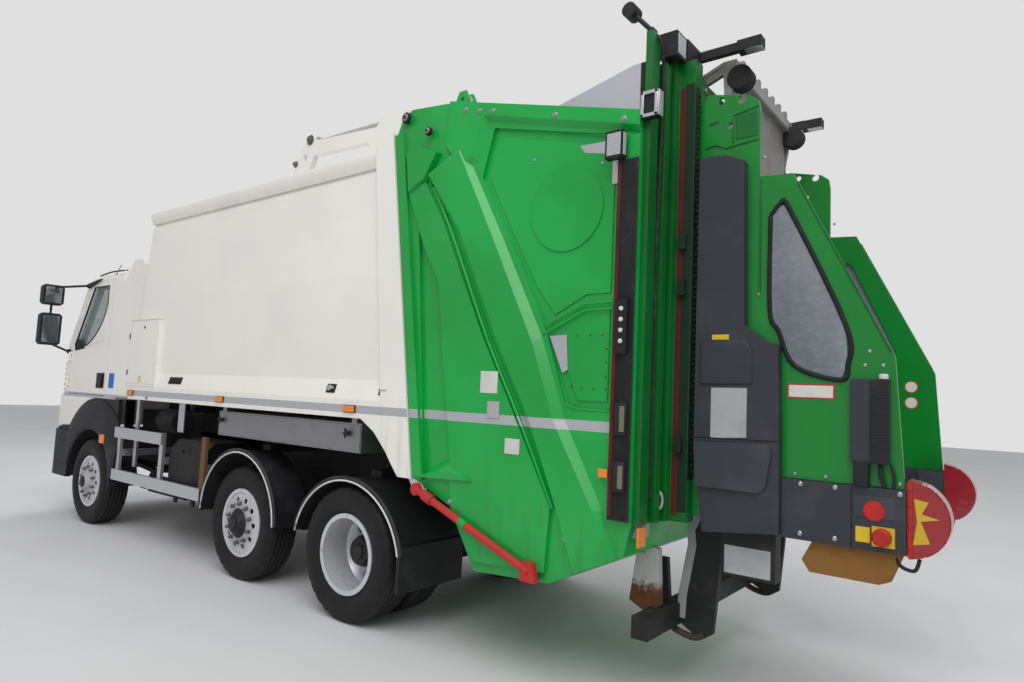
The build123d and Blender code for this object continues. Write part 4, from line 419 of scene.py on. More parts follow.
print("stage: finishes")
finishes = {
    coachPaint: {
        "whitePaint": (paints["white"], 1.9, True),
        "greenPaint": (paints["green"], 1.5, True),
        "greenShield": ({**paints["green"], "colour": (0.001, 0.22, 0.024), "shade": (0.001, 0.17, 0.016)}, 1.3),
        "greenFrame": (paints["deepGreen"], 1.3),
        "whitePlain": (paints["white"], 1.9),
        "cabPaint": ({**paints["white"], "stripe": (1.478, 1.535)}, 1.5, True)},
    chassisPaint: {
        "framePaint": ((0.011, 0.011, 0.012), (0.07, 0.064, 0.055)),
        "axlePaint": ((0.014, 0.0135, 0.013), (0.08, 0.06, 0.045), 0.6),
        "engineMetal": ((0.09, 0.09, 0.095), (0.04, 0.035, 0.03), 0.55, 0.4),
        "strutPaint": ((0.52, 0.025, 0.02), (0.16, 0.07, 0.05), 0.42),
        "chairMetal": ((0.3, 0.29, 0.28), (0.13, 0.07, 0.035), 0.5, 0.5),
        "barrelPaint": ((0.46, 0.46, 0.47), (0.24, 0.23, 0.21), 0.4, 0.3),
        # near-black green: painted shade in the deep lift channels, and also the finish of the lift chain
        "channelDark": ((0.004, 0.022, 0.007), (0.02, 0.024, 0.018), 0.5),
        "hubPaint": ((0.028, 0.027, 0.029), (0.09, 0.08, 0.07), 0.4, 0.3),
        "fadedYellow": ((0.6, 0.4, 0.03), (0.3, 0.05, 0.02), 0.4),
        "wornWhite": ((0.3, 0.3, 0.3), (0.1, 0.07, 0.05), 0.45),
        "rustHoop": ((0.055, 0.038, 0.028), (0.12, 0.055, 0.025), 0.7),
        "rustPaint": ((0.16, 0.085, 0.035), (0.05, 0.04, 0.03), 0.75)},
    brushedMetal: {
        "guardMetal": ((0.66, 0.66, 0.69), 0.32, (0.2, 4, 4), 0.25),
        "boxSteel": ((0.34, 0.33, 0.34), 0.3, (0.15, 3, 3), 0.45),
        "hoodMetal": ((0.68, 0.68, 0.72), 0.38, (1, 1, 1), 0.2),
        "rodChrome": ((0.78, 0.78, 0.8), 0.08, (0.1, 4, 4), 0.12),
        "nutSteel": ((0.2, 0.195, 0.2), 0.35, (1, 1, 1), 0.6, (0.12, 0.07, 0.045)),
        "mirrorGlass": ((0.32, 0.35, 0.37), 0.04, (1, 1, 1), 0.1),
        "boltSteel": ((0.45, 0.45, 0.45), 0.3, (1, 1, 1), 0.5, (0.12, 0.09, 0.07)),
        "latchSteel": ((0.6, 0.6, 0.6), 0.25)},
    mouldedPlastic: {
        "darkPlastic": ((0.012, 0.012, 0.014), (0.028, 0.028, 0.031), 0.42),
        "coverPlastic": ((0.034, 0.036, 0.045), (0.048, 0.05, 0.061), 0.42),
        "whitePiping": ((0.72, 0.72, 0.7), (0.5, 0.49, 0.46), 0.5),
        "redEdge": ((0.1, 0.007, 0.007), (0.05, 0.005, 0.005), 0.5),
        "greySign": ((0.4, 0.41, 0.41), (0.3, 0.31, 0.31), 0.4),
        "paleSign": ((0.66, 0.66, 0.62), (0.5, 0.5, 0.46), 0.4),
        "signRed": ((0.52, 0.02, 0.015), (0.36, 0.02, 0.015), 0.35),
        "signYellow": ((0.72, 0.5, 0.02), (0.55, 0.38, 0.02), 0.35),
        "lipPlastic": ((0.02, 0.02, 0.021), (0.05, 0.05, 0.05), 0.38),
        "plateBlank": ((0.62, 0.62, 0.6), (0.5, 0.5, 0.48), 0.35),
        "paleSlats": ((0.62, 0.6, 0.5), (0.5, 0.48, 0.4), 0.4),
        "blueSticker": ((0.02, 0.13, 0.55), (0.06, 0.2, 0.6), 0.35),
        "yellowLabel": ((0.72, 0.66, 0.03), (0.6, 0.55, 0.05), 0.35),
        "pocketPlastic": ((0.04, 0.045, 0.053), (0.06, 0.065, 0.075), 0.5)},
    rubber: {
        "blackRubber": ((0.02, 0.02, 0.02), (0.1, 0.095, 0.09)),
        "sealRubber": ((0.012, 0.012, 0.013), (0.06, 0.06, 0.06), 0.25),
        "ochreRubber": ((0.25, 0.115, 0.025), (0.13, 0.07, 0.03), 0.6),
        "darkStrip": ((0.012, 0.013, 0.013), (0.045, 0.045, 0.04), 0.5)},
    glass: {
        "paneGlass": ((0.3, 0.38, 0.38), 0.34)},
    hazyPane: {
        "shieldGlass": ((0.15, 0.17, 0.19), (0.34, 0.36, 0.4))},
    lens: {
        "redLens": ((0.36, 0.012, 0.018), (0.27, 0.008, 0.014), 0.08),
        "orangeLens": ((0.95, 0.31, 0.012), (0.72, 0.18, 0.01), 0.2),
        "clearLens": ((0.55, 0.57, 0.58), (0.28, 0.29, 0.3)),
        "oliveLens": ((0.2, 0.2, 0.12), (0.11, 0.11, 0.06), 0.1),
        "paleLens": ((0.7, 0.42, 0.42), (0.42, 0.06, 0.07))},
    cloth: {
        "seatCloth": ((0.055, 0.057, 0.065), (0.085, 0.088, 0.1))},
    rustedPaint: {
        "rustyWhite": ((0.4, 0.395, 0.39), (0.52, 0.8))}}
for maker, rows in finishes.items():
    for name, values in rows.items():
        maker(Finish(name), *values)

dressed = {  # the solids' own finishes
    "framePaint": ("chassis_frame", "fuel_tank", "lift_fittings"), "engineMetal": ("engine_block",),
    "axlePaint": ("steered_axles", "drive_axle", "knuckle_front_left", "knuckle_front_right", "knuckle_pusher_left",
                  "knuckle_pusher_right"),
    "cabPaint": ("cab_shell", "cab_door_left", "cab_door_right"), "whitePaint": ("body_shell",),
    "paneGlass": ("windscreen", "door_glass_left", "door_glass_right"), "seatCloth": ("cab_interior",),
    "darkPlastic": ("cab_plastics", "mirrors", "mudguards"), "guardMetal": ("side_guards",), "boxSteel": ("tool_box",),
    "greenPaint": ("tailgate_shell",), "hoodMetal": ("hopper_hood",), "strutPaint": ("tailgate_struts",),
    "greenFrame": ("lift_frame", "lift_carriage"), "greenShield": ("lift_shields",), "shieldGlass": ("shield_windows",),
    "coverPlastic": ("lift_covers",), "redLens": ("rear_lamps",), "barrelPaint": ("tailgate_barrels",),
    "rodChrome": ("tailgate_rods",), "chairMetal": ("lift_chair",)}


def dress(node, finish):
    nodes[node].data.materials.clear()
    nodes[node].data.materials.append(finish)


for finish, covered in dressed.items():
    for node in covered:
        dress(node, bpy.data.materials[finish])

print("stage: tyres and wheels")
tyre = {"bead": 0.2892, "crown": 0.4945, "groove": 0.013, "sides": 150, "lug": 5, "lugDeep": 0.009,
        "shoulder": (9, 10, 11, 12), "single": 1.03, "twins": (0.745, 1.085)}
tyreSide = [(0.1105, 0.0), (0.1115, 0.055), (0.119, 0.1), (0.131, 0.21), (0.142, 0.36), (0.1455, 0.5), (0.1445, 0.64),
            (0.1405, 0.76), (0.1385, 0.765), (0.1365, 0.83), (0.13, 0.9), (0.122, 0.955), (0.11, 0.985)]
tyreGrooves = [(0.068, 0.058), (0.024, 0.014)]


def tyreProfile():
    reach = tyre["crown"] - tyre["bead"]
    half = [(along, tyre["bead"] + reach * up) for along, up in tyreSide]
    for outer, inner in tyreGrooves:
        half += [(outer, tyre["crown"]), (outer - 0.001, tyre["crown"] - tyre["groove"]),
                 (inner + 0.001, tyre["crown"] - tyre["groove"]), (inner, tyre["crown"])]
    return half


wheelNuts = {"count": 10, "ring": 0.1675, "radius": 0.0165, "length": 0.03, "washer": 0.024, "washerThick": 0.006,
             "stud": 0.01, "studOut": 0.016}
hubCap = {"bolts": 8, "ring": 0.062, "boltRadius": 0.007, "boltLength": 0.008,
          "profile": [(0, 0.052), (0.01, 0.052), (0.016, 0.044), (0.018, 0.012), (0.022, 0.01)]}
wheels = {  # axle, middles of the tyres, seat of the nuts, face of the hub, dark core of the rim, brake dust and painted shade towards the hub
    "front": (frontAxle, (tyre["single"],), 1.158, 1.225, 0.07, 0.35),
    "pusher": (pusherAxle, (tyre["single"],), 1.158, 1.225, 0.13, 0.4),
    "drive": (0.0, tyre["twins"], 0.928, 1.08, 0.15, 0.6)}


def ringOf(count, radius, axle, first=0.0):  # places round a wheel's axle
    angles = [radians(360 / count * (turn + first)) for turn in range(count)]
    return [(axle + radius * cos(angle), axleZ + radius * sin(angle)) for angle in angles]


def lugs(step, place):  # how deep the shoulder is cut at a point of the profile
    near = min(place, 2 * len(tyreHalf) - 1 - place)
    return tyre["lugDeep"] if near in tyre["shoulder"] and step % tyre["lug"] == 0 else 0.0


tyreHalf = tyreProfile()
tyreWhole = tyreHalf + [(-along, radius) for along, radius in tyreHalf[::-1]]
for place, (axle, middles, seat, face, core, hubDustAndShade) in wheels.items():
    tyreFinish, wheelFinish = Finish(f"tyre{place.title()}"), Finish(f"wheel{place.title()}")
    tyreRubber(tyreFinish, fromAxle(axle))
    wheelPaint(wheelFinish, fromAxle(axle), core, hubDustAndShade)
    for side in sides:
        turning = f"drive_{side}_wheels" if place == "drive" else f"{place}_{side}_wheel"
        node = f"tyres_drive_{side}" if place == "drive" else f"tyre_{place}_{side}"
        dress(node, tyreFinish.material)
        dress(f"wheel_{place}_{side}", wheelFinish.material)
        tread = Piece(f"tread_{place}", "tyre", tyreFinish.material.name, 0.0, side, turning, 35.0, (node,))
        for middle in middles:
            tread.turned(tyreWhole, (axle, middle, axleZ), tyre["sides"], (0, tread.sign, 0), True, lugs)
        nuts = Piece(f"nuts_{place}", "rim_silver", "nutSteel", 0.0015, side, turning)
        thick, length = wheelNuts["washerThick"], wheelNuts["length"]
        for x, z in ringOf(wheelNuts["count"], wheelNuts["ring"], axle, 0.5):
            nuts.turned([(0, wheelNuts["washer"]), (thick, wheelNuts["washer"]), (thick, wheelNuts["radius"]),
                         (length, wheelNuts["radius"]), (length + 0.004, wheelNuts["stud"]),
                         (length + wheelNuts["studOut"], wheelNuts["stud"])], (x, seat, z), 12)
        cap = Piece(f"hub_{place}", "rim_silver", "hubPaint", 0.002, side, turning)
        cap.turned(hubCap["profile"], (axle, face - 0.001, axleZ), 32)
        for x, z in ringOf(hubCap["bolts"], hubCap["ring"], axle):
            cap.bolt((x, face - 0.001, z), hubCap["boltRadius"], hubCap["boltLength"])

print("stage: mudguards, guards and boxes")
guardTrim = {"piping": 0.007, "lip": 0.016, "lipOut": 0.02, "pipingProud": 0.002, "lipBehind": 0.012,
             # middle, radii along and up, first and last angle, outer face
             "arches": ((pusherAxle, 0.53, 0.59, 0.59, 2, 178, 1.222), (0.0, 0.465, 0.612, 0.575, 12, 168, 1.24))}
for side in sides:
    piping = Piece("piping", "dark_plastic", "whitePiping", side=side)
    lip = Piece("mudguard_lip", "dark_plastic", "lipPlastic", side=side)
    for x, z, radiusX, radiusZ, first, last, face in guardTrim["arches"]:
        edge = arcPoints(x, z, radiusX, radiusZ, first, last)
        piping.path([(a, face + guardTrim["pipingProud"], b) for a, b in edge], guardTrim["piping"], 8, 1)
        edge = arcPoints(x, z, radiusX + guardTrim["lipOut"], radiusZ + guardTrim["lipOut"], first, last)
        lip.path([(a, face - guardTrim["lipBehind"], b) for a, b in edge], guardTrim["lip"], 10, 1)

toolbox = {"lid": ((-0.022, 2.022), (1.15, 1.156), (1.252, 1.453)), "hinges": (0.35, 1.0, 1.65), "hingeHalf": 0.03,
           "handles": (0.114, 1.965), "handleHigh": 1.385,
           "boss": [(0, 0.022), (0.006, 0.022), (0.008, 0.01), (0.026, 0.01)]}
tank = {"straps": (2.5, 2.84), "strapHalf": 0.03, "cap": (2.67, 1.04, 1.04), "capLean": (0, 0.45, 0.9),
        "capShape": [(0, 0.06), (0.03, 0.06), (0.036, 0.045)],
        "hose": [(2.6, 1.1, 0.99), (2.62, 1.13, 1.04), (2.72, 1.13, 1.04), (2.75, 1.1, 0.99)], "hoseRadius": 0.01}


def around(middle, half):
    return middle - half, middle + half


for side in sides:
    lid = Piece("toolbox_lid", "steel", "boxSteel", 0.004, side)
    lid.box(*toolbox["lid"])
    for station in toolbox["hinges"]:
        lid.box(around(station, toolbox["hingeHalf"]), (1.15, 1.162), (1.244, 1.256))
    grips = Piece("toolbox_handles", "dark_plastic", "darkPlastic", 0.002, side)
    for station in toolbox["handles"]:
        grips.turned(toolbox["boss"], (station, 1.156, toolbox["handleHigh"]), 16)
        grips.box(around(station, 0.008), (1.18, 1.194), (1.35, 1.425))
        grips.box(around(station, 0.028), (1.18, 1.192), (1.378, 1.392))
    straps = Piece("tank_fittings", "frame_black", "blackRubber", 0.003, side)
    for station in tank["straps"]:
        straps.box(around(station, tank["strapHalf"]), (1.09, 1.112), (0.5, 1.02))
    straps.turned(tank["capShape"], tank["cap"], 24, tank["capLean"])
    straps.path(tank["hose"], tank["hoseRadius"])

print("stage: body trim")
body = {"ledgeLow": (1.25, 1.648), "ledgeTop": (1.205, 1.8), "ledgeFacing": (0.959, 0.284),
        "lamps": ((3.66, 3.8), (1.8, 1.94), (-0.07, 0.07)), "latches": (0.267, -0.35),
        "bracketPins": ((0.862, 3.868, 0.046), (1.055, 3.685, 0.03)), "vent": (2.66, 2.92), "ventSlats": 5,
        "railEnds": (-0.28, 3.635), "rail": ((1.19, 3.562), (1.238, 3.556), (1.238, 3.5), (1.206, 3.44), (1.19, 3.44))}
locker = {"rear": 3.19, "front": 3.85, "low": 1.652, "top": 2.372, "face": 1.2545, "panelFace": 1.2585,
          "lock": [(0, 0.016), (0.004, 0.016), (0.006, 0.006), (0.01, 0.006)], "hinges": (1.8, 2.2)}


def onLedge(z, out):  # a point on the sloped ledge, held off it
    share = (z - body["ledgeLow"][1]) / (body["ledgeTop"][1] - body["ledgeLow"][1])
    y = body["ledgeLow"][0] + (body["ledgeTop"][0] - body["ledgeLow"][0]) * share
    return (y + body["ledgeFacing"][0] * out, z + body["ledgeFacing"][1] * out)


def ledgePlate(low, top, inner, outer):  # section of a flat plate that lies on the ledge
    return [onLedge(low, inner), onLedge(low, outer), onLedge(top, outer), onLedge(top, inner)]


for side in sides:
    lamps = Piece("side_lamps", "lamp_red", "orangeLens", 0.004, side)
    bases = Piece("lamp_bases", "dark_plastic", "darkPlastic", 0.002, side)
    for rear, front in body["lamps"]:
        lamps.box((rear + 0.008, front - 0.008), (1.254, 1.27), (1.553, 1.601))
        bases.box((rear, front), (1.25, 1.257), (1.548, 1.606))
    rear, front = body["vent"]
    bases.bar(ledgePlate(1.695, 1.765, 0.0, 0.006), rear, front)
    for row in range(body["ventSlats"]):
        z = 1.702 + row * 0.013
        bases.bar([onLedge(z, 0.006), onLedge(z + 0.003, 0.012), onLedge(z + 0.007, 0.006)], rear + 0.01, front - 0.01)
    latches = Piece("latches", "steel", "latchSteel", 0.002, side)
    wells = Piece("latch_wells", "dark_plastic", "blackRubber", side=side)
    for station in body["latches"]:
        wells.bar(ledgePlate(1.69, 1.76, 0.0, 0.002), *around(station, 0.055))
        latches.turned([(0, 0.024), (0.012, 0.024), (0.016, 0.018)], (station + 0.015, *onLedge(1.728, 0.0)), 20,
                       (0, *body["ledgeFacing"]))
        latches.bar(ledgePlate(1.716, 1.735, 0.014, 0.024), station - 0.045, station + 0.04)
    door = Piece("front_locker", "body_white", "whitePlain", 0.004, side)
    rear, front, low, top = (locker[key] for key in ("rear", "front", "low", "top"))
    door.box((rear - 0.004, front + 0.004), (1.14, locker["face"]), (low, top))
    door.box((rear + 0.03, front - 0.03), (locker["face"], locker["panelFace"]), (low + 0.03, top - 0.035))
    door.box((rear - 0.012, front + 0.008), (1.14, 1.263), (top, top + 0.012))
    lock = Piece("locker_lock", "steel", "nutSteel", 0.001, side)
    lock.turned(locker["lock"], (3.5, locker["panelFace"], 2.29), 20)
    for z in locker["hinges"]:
        lock.rod((3.845, 1.258, z - 0.03), (3.845, 1.258, z + 0.03), 0.008)
    pins = Piece("bracket_pins", "steel", "nutSteel", 0.002, side)
    for x, z, radius in body["bracketPins"]:
        pin = radius * 0.62
        pins.turned([(0, radius), (0.006, radius), (0.008, pin), (0.024, pin), (0.027, radius * 0.45)],
                    (x, 1.166, z), 24)
    Piece("roof_rail", "body_white", "whitePlain", 0.003, side).bar(body["rail"], *body["railEnds"])

print("stage: cab")
cab = {"screenTop": (5.4, 2.96), "screenFoot": (5.97, 2.05), "faceSide": 1.138, "stepRibs": (0.62, 0.92),
       "mirrorPanes": ((2.665, 2.875), (2.15, 2.5)), "wipers": (-0.55, 0.05, 0.62), "lines": 5}
window = {"sweep": [(4.822, 2.62), (4.85, 2.53), (4.91, 2.43), (5.0, 2.33), (5.12, 2.235), (5.25, 2.165),
                    (5.36, 2.125)],
          "edge": [(4.82, 2.62), (4.82, 2.85), (5.24, 2.85), (5.69, 2.16), (5.69, 2.085), (5.36, 2.127)],
          "seal": 0.01, "sweepSeal": 0.009}
for side in sides:
    trim = Piece("cab_trim", "dark_plastic", "darkPlastic", 0.004, side, body=f"{side}_door")
    trim.box((4.735, 4.955), (1.139, 1.144), (1.6, 1.785))
    trim.box((4.76, 4.8), (1.144, 1.172), (1.625, 1.765))
    trim.plate([(5.4, 2.085), (5.7, 2.06), (5.73, 2.15), (5.66, 2.2), (5.48, 2.2)], cab["faceSide"], 1.142)
    seal = Piece("window_seal", "dark_plastic", "sealRubber", side=side, body=f"{side}_door")
    seal.path([(x, 1.139, z) for x, z in window["edge"]], window["seal"], 8, 1)
    seal.path([(x, 1.1415, z) for x, z in window["sweep"]], window["sweepSeal"], 8, 2)
    corner = Piece("window_corner", "body_white", "cabPaint", 0.002, side, body=f"{side}_door")
    corner.plate([(4.817, 2.185), *window["sweep"], (5.36, 2.122)], 1.1385, 1.1425)
    fixed = Piece("cab_side_parts", "dark_plastic", "darkPlastic", 0.004, side)
    fixed.plate([(5.02, 2.945), (5.42, 2.905), (5.45, 2.865), (5.3, 2.87), (5.1, 2.925)], cab["faceSide"], 1.175)
    fixed.path([(4.45, 1.1, 3.02), (4.9, 1.09, 3.035), (5.36, 1.05, 3.025)], 0.01, 8, 3)
    for z in cab["stepRibs"]:
        fixed.box((5.5, 5.9), (1.188, 1.196), (z, z + 0.02))
    Piece("arch_marker", "lamp_red", "orangeLens", 0.006, side).box((4.42, 4.54), (1.195, 1.214), (0.97, 1.07))
    mirror = Piece("mirror_faces", "glass", "mirrorGlass", 0.004, side)
    for pane in cab["mirrorPanes"]:
        mirror.box((5.944, 5.95), (1.268, 1.452), pane)
    lamp = Piece("headlamp", "glass", "clearLens", 0.008, side)
    lamp.bar([(0.66, 0.74), (1.02, 0.74), (1.05, 0.8), (1.02, 0.93), (0.7, 0.93)], 6.126, 6.138)
    Piece("front_turn_lamp", "lamp_red", "orangeLens", 0.004, side).box((6.126, 6.14), (0.55, 0.645), (0.76, 0.91))

skirt = {"side": 1.1465, "front": 6.064, "thick": 0.012, "low": 1.085, "top": 1.482, "archRadius": 0.985}
panel = Piece("cab_skirt", "body_white", "cabPaint", 0.004)
plan = [(5.905, skirt["side"]), (6.012, 1.096), (skirt["front"], 0.993)]
plan += [(x, -y) for x, y in plan[::-1]]
panel.block(plan + [(x - skirt["thick"], y * 0.99) for x, y in plan[::-1]], skirt["low"], skirt["top"])
for side in eachSide(panel):
    panel.box((5.9, 6.004), (1.076, skirt["side"]), (skirt["low"], skirt["top"]))
    overArch = arcPoints(frontAxle, axleZ, skirt["archRadius"], skirt["archRadius"], 40, 84, 14)
    panel.plate([(5.91, skirt["top"]), (5.91, 1.1), (5.63, 1.115), *overArch, (4.96, skirt["top"])], 1.1395,
                skirt["side"])

flares = {"section": ((0.636, 1.15), (0.64, 1.199), (0.7, 1.201), (0.84, 1.19)), "steps": 41, "stepAngle": 4.0,
          "firstAngle": 12, "narrow": 0.66, "widen": 0.318, "back": 1.141}
for side in sides:
    flare = Piece("arch_flare", "dark_plastic", "darkPlastic", side=side)
    rings = []
    for step in range(flares["steps"]):
        angle = flares["stepAngle"] * step + flares["firstAngle"]
        reach = flares["narrow"] + flares["widen"] * min(1, max(0, (angle - 16) / 24), max(0, (172 - angle) / 40))
        section = [(min(radius, reach), y) for radius, y in flares["section"]]
        section += [(reach, 1.15), (reach, flares["back"]), (0.636, flares["back"])]
        along, up = cos(radians(angle)), sin(radians(angle))
        rings.append(flare.loop([flare.at(frontAxle + radius * along, y, axleZ + radius * up)
                                 for radius, y in section]))
    for first, second in zip(rings, rings[1:]):
        flare.bridge(first, second)
    for end in (rings[0], rings[-1]):
        flare.work.faces.new(end)

grilleWork = {"pitch": 0.066, "lowRows": 4, "lowFirst": 1.145, "rows": 10, "first": 1.266, "half": 0.84,
              "bumperRows": 4}
grille = Piece("cab_grille", "dark_plastic", "darkPlastic", 0.004)
grille.box((6.04, 6.062), (-0.86, 0.86), (1.5, 1.93))
grille.box((6.062, 6.067), (-grilleWork["half"], grilleWork["half"]), (1.13, 1.44))
for row in range(grilleWork["rows"]):
    z = grilleWork["lowFirst" if row < grilleWork["lowRows"] else "first"] + row * grilleWork["pitch"]
    grille.plate([(6.058, z), (6.074, z + 0.012), (6.058, z + 0.036)], -grilleWork["half"], grilleWork["half"])
grille.box((6.128, 6.137), (-0.5, 0.5), (0.52, 0.68))
for row in range(grilleWork["bumperRows"]):
    grille.box((6.13, 6.139), (-0.48, 0.48), (0.535 + row * 0.036, 0.547 + row * 0.036))
Piece("front_plate", "dark_plastic", "plateBlank", 0.002).box((6.13, 6.136), (-0.26, 0.26), (0.73, 0.84))

slatWork = {"rows": 11, "first": 1.206, "high": 0.045, "proudRows": 4, "proud": 0.034}
slats = Piece("corner_slats", "dark_plastic", "paleSlats", 0.003)
for side in eachSide(slats):
    for row in range(slatWork["rows"]):
        z = slatWork["first"] + row * grilleWork["pitch"]
        out = slatWork["proud"] if row < slatWork["proudRows"] else 0.0
        slats.block([(5.935 + out, 1.118), (6.035 + out, 1.018), (6.058 + out, 1.045), (5.96 + out, 1.14)],
                    z, z + slatWork["high"])

wipers = Piece("wipers", "dark_plastic", "sealRubber", 0.002)
top, foot = Vector(cab["screenTop"]), Vector(cab["screenFoot"])
run = foot - top
outward = Vector((-run.y, run.x)) / run.length
for y in cab["wipers"]:
    low = foot + outward * 0.03 - Vector((0, 0.03))
    tip = top + run * 0.45 + outward * 0.022
    wipers.rod((low.x, y, low.y), (tip.x, y - 0.22, tip.y), 0.009)
    arm = low.lerp(tip, 0.3)
    wipers.rod((arm.x, y - 0.3, arm.y), (tip.x, y - 0.16, tip.y + 0.12), 0.007)
aerial = Piece("roof_aerial", "dark_plastic", "darkPlastic", 0.003)
aerial.turned([(0, 0.03), (0.02, 0.028), (0.045, 0.012), (0.05, 0.006)], (5.15, 0.95, 3.005), 20, (0, 0, 1))
aerial.rod((5.15, 0.95, 3.04), (5.02, 0.95, 3.16), 0.004)
lines = Piece("cab_lines", "dark_plastic", "blackRubber")
for number in range(cab["lines"]):
    y = -0.3 + number * 0.09
    lines.path([(4.4, y, 1.75), (4.22, y, 1.55 - 0.02 * number), (4.12, y + 0.03, 1.2), (4.05, y + 0.02, 0.98)],
               0.013, 8, 5)
cleaner = Piece("air_cleaner", "frame_black", "blackRubber", 0.006)
for side in eachSide(cleaner):
    cleaner.rod((3.3, 0.86, 1.28), (3.66, 0.86, 1.28), 0.13, 32)
    cleaner.rod((3.7, 0.8, 1.12), (3.95, 0.72, 1.05), 0.075, 24)
    cleaner.path([(3.66, 0.86, 1.28), (3.8, 0.84, 1.32), (3.92, 0.7, 1.3), (4.1, 0.5, 1.2)], 0.05, 16, 6)
rackPosts = (3.08, 3.3, 3.52, 3.74, 3.87)
rack = Piece("frame_rack", "frame_black", "framePaint", 0.004)
for side in eachSide(rack):
    rack.box((2.3, 4.25), (0.47, 0.48), (0.44, 1.16))
    rack.box((3.05, 3.9), (0.48, 0.9), (0.47, 0.5))
    for station in rackPosts:
        rack.box((station, station + 0.025), (0.875, 0.9), (0.47, 0.66))
    rack.box((3.05, 3.9), (0.875, 0.9), (0.64, 0.665))
brackets = Piece("step_brackets", "steel", "guardMetal", 0.003)
for side in eachSide(brackets):
    brackets.turned([(0, 0.12), (0.02, 0.12), (0.05, 0.09), (0.06, 0.02)], (3.66, 0.86, 1.28), 32, (1, 0, 0))
    brackets.box((2.86, 2.98), (1.06, 1.075), (1.2, 1.5))
    brackets.box((3.88, 3.94), (1.05, 1.08), (0.75, 1.5))
rusty = Piece("guard_post_rust", "guard_alu", "rustPaint", 0.003)
for side in eachSide(rusty):
    rusty.box((2.196, 2.274), (1.141, 1.176), (0.59, 1.2))
stickers = Piece("side_stickers", "body_white", "blueSticker")
stickers.box((4.46, 4.6), (1.1405, 1.1415), (1.61, 1.785))
stickers.box((3.32, 3.37), (1.25, 1.2512), (1.52, 1.545))
Piece("locker_label", "body_white", "yellowLabel").box((3.5, 3.56), (1.2585, 1.2597), (1.7, 1.765))

print("stage: tailgate trim")
Piece.body = "tailgate"
tail = {"sheet": 1.24, "band": 1.247, "wall": 1.198,
        "bosses": ((-0.43, 3.75, 1.228, 0.042), (-0.683, 3.592, 1.24, 0.032)),
        "bandBolts": ((-1.03, 3.672), (-1.159, 3.635), (-1.275, 3.609), (-1.779, 3.467), (-2.26, 3.335)),
        "bandBolt": [(0, 0.02), (0.003, 0.02), (0.004, 0.012), (0.013, 0.012)],
        "footBolts": ((-1.965, 0.932), (-2.046, 0.784), (-1.3, 0.86), (-1.06, 1.02)),
        "footBolt": [(0, 0.018), (0.003, 0.018), (0.004, 0.011), (0.012, 0.011)],
        "rivets": ((-1.245, 3.01), (-1.415, 2.715), (-1.59, 2.415), (-1.755, 2.11), (-1.6, 3.23), (-2.1, 3.12)),
        "rivet": [(0, 0.011), (0.004, 0.009), (0.006, 0.004)],
        "holes": ((-1.79, 2.1), (-1.88, 2.1), (-1.97, 2.1), (-2.06, 2.1), (-2.14, 2.1), (-2.17, 2.02), (-2.17, 1.94),
                  (-2.17, 1.86), (-2.17, 1.79), (-2.09, 1.79), (-2.01, 1.79), (-1.94, 1.8)),
        "hole": [(0, 0.005), (0.0012, 0.005)],
        "signs": ((-1.417, -1.275, 1.74, 1.88), (-1.611, -1.496, 1.373, 1.467)),
        "seams": (((-1.758, 2.17), (-2.01, 2.285), (-2.21, 2.29)), ((-1.732, 2.109), (-2.025, 2.245), (-2.211, 2.25)),
                  ((-1.92, 1.69), (-2.002, 1.67), (-2.208, 1.669))),
        "ridgeSeam": ((-0.72, 3.2), (-0.92, 2.86), (-1.3, 2.09), (-1.58, 1.6), (-1.86, 1.08))}
strip = {"face": 1.2545, "rear": -2.362, "front": -2.238, "ribs": 5, "ribPitch": 0.022,
         "lamps": ((1.54, 1.72), (1.236, 1.4)),
         "knobs": ((-2.305, 2.235), (-2.305, 2.175), (-2.305, 2.115), (-2.305, 2.055)),
         "knob": [(0, 0.013), (0.008, 0.013), (0.01, 0.01)]}
chain = {"links": 70, "low": 1.34, "pitch": 0.032, "link": 0.022, "guides": (1.45, 2.35, 2.62)}
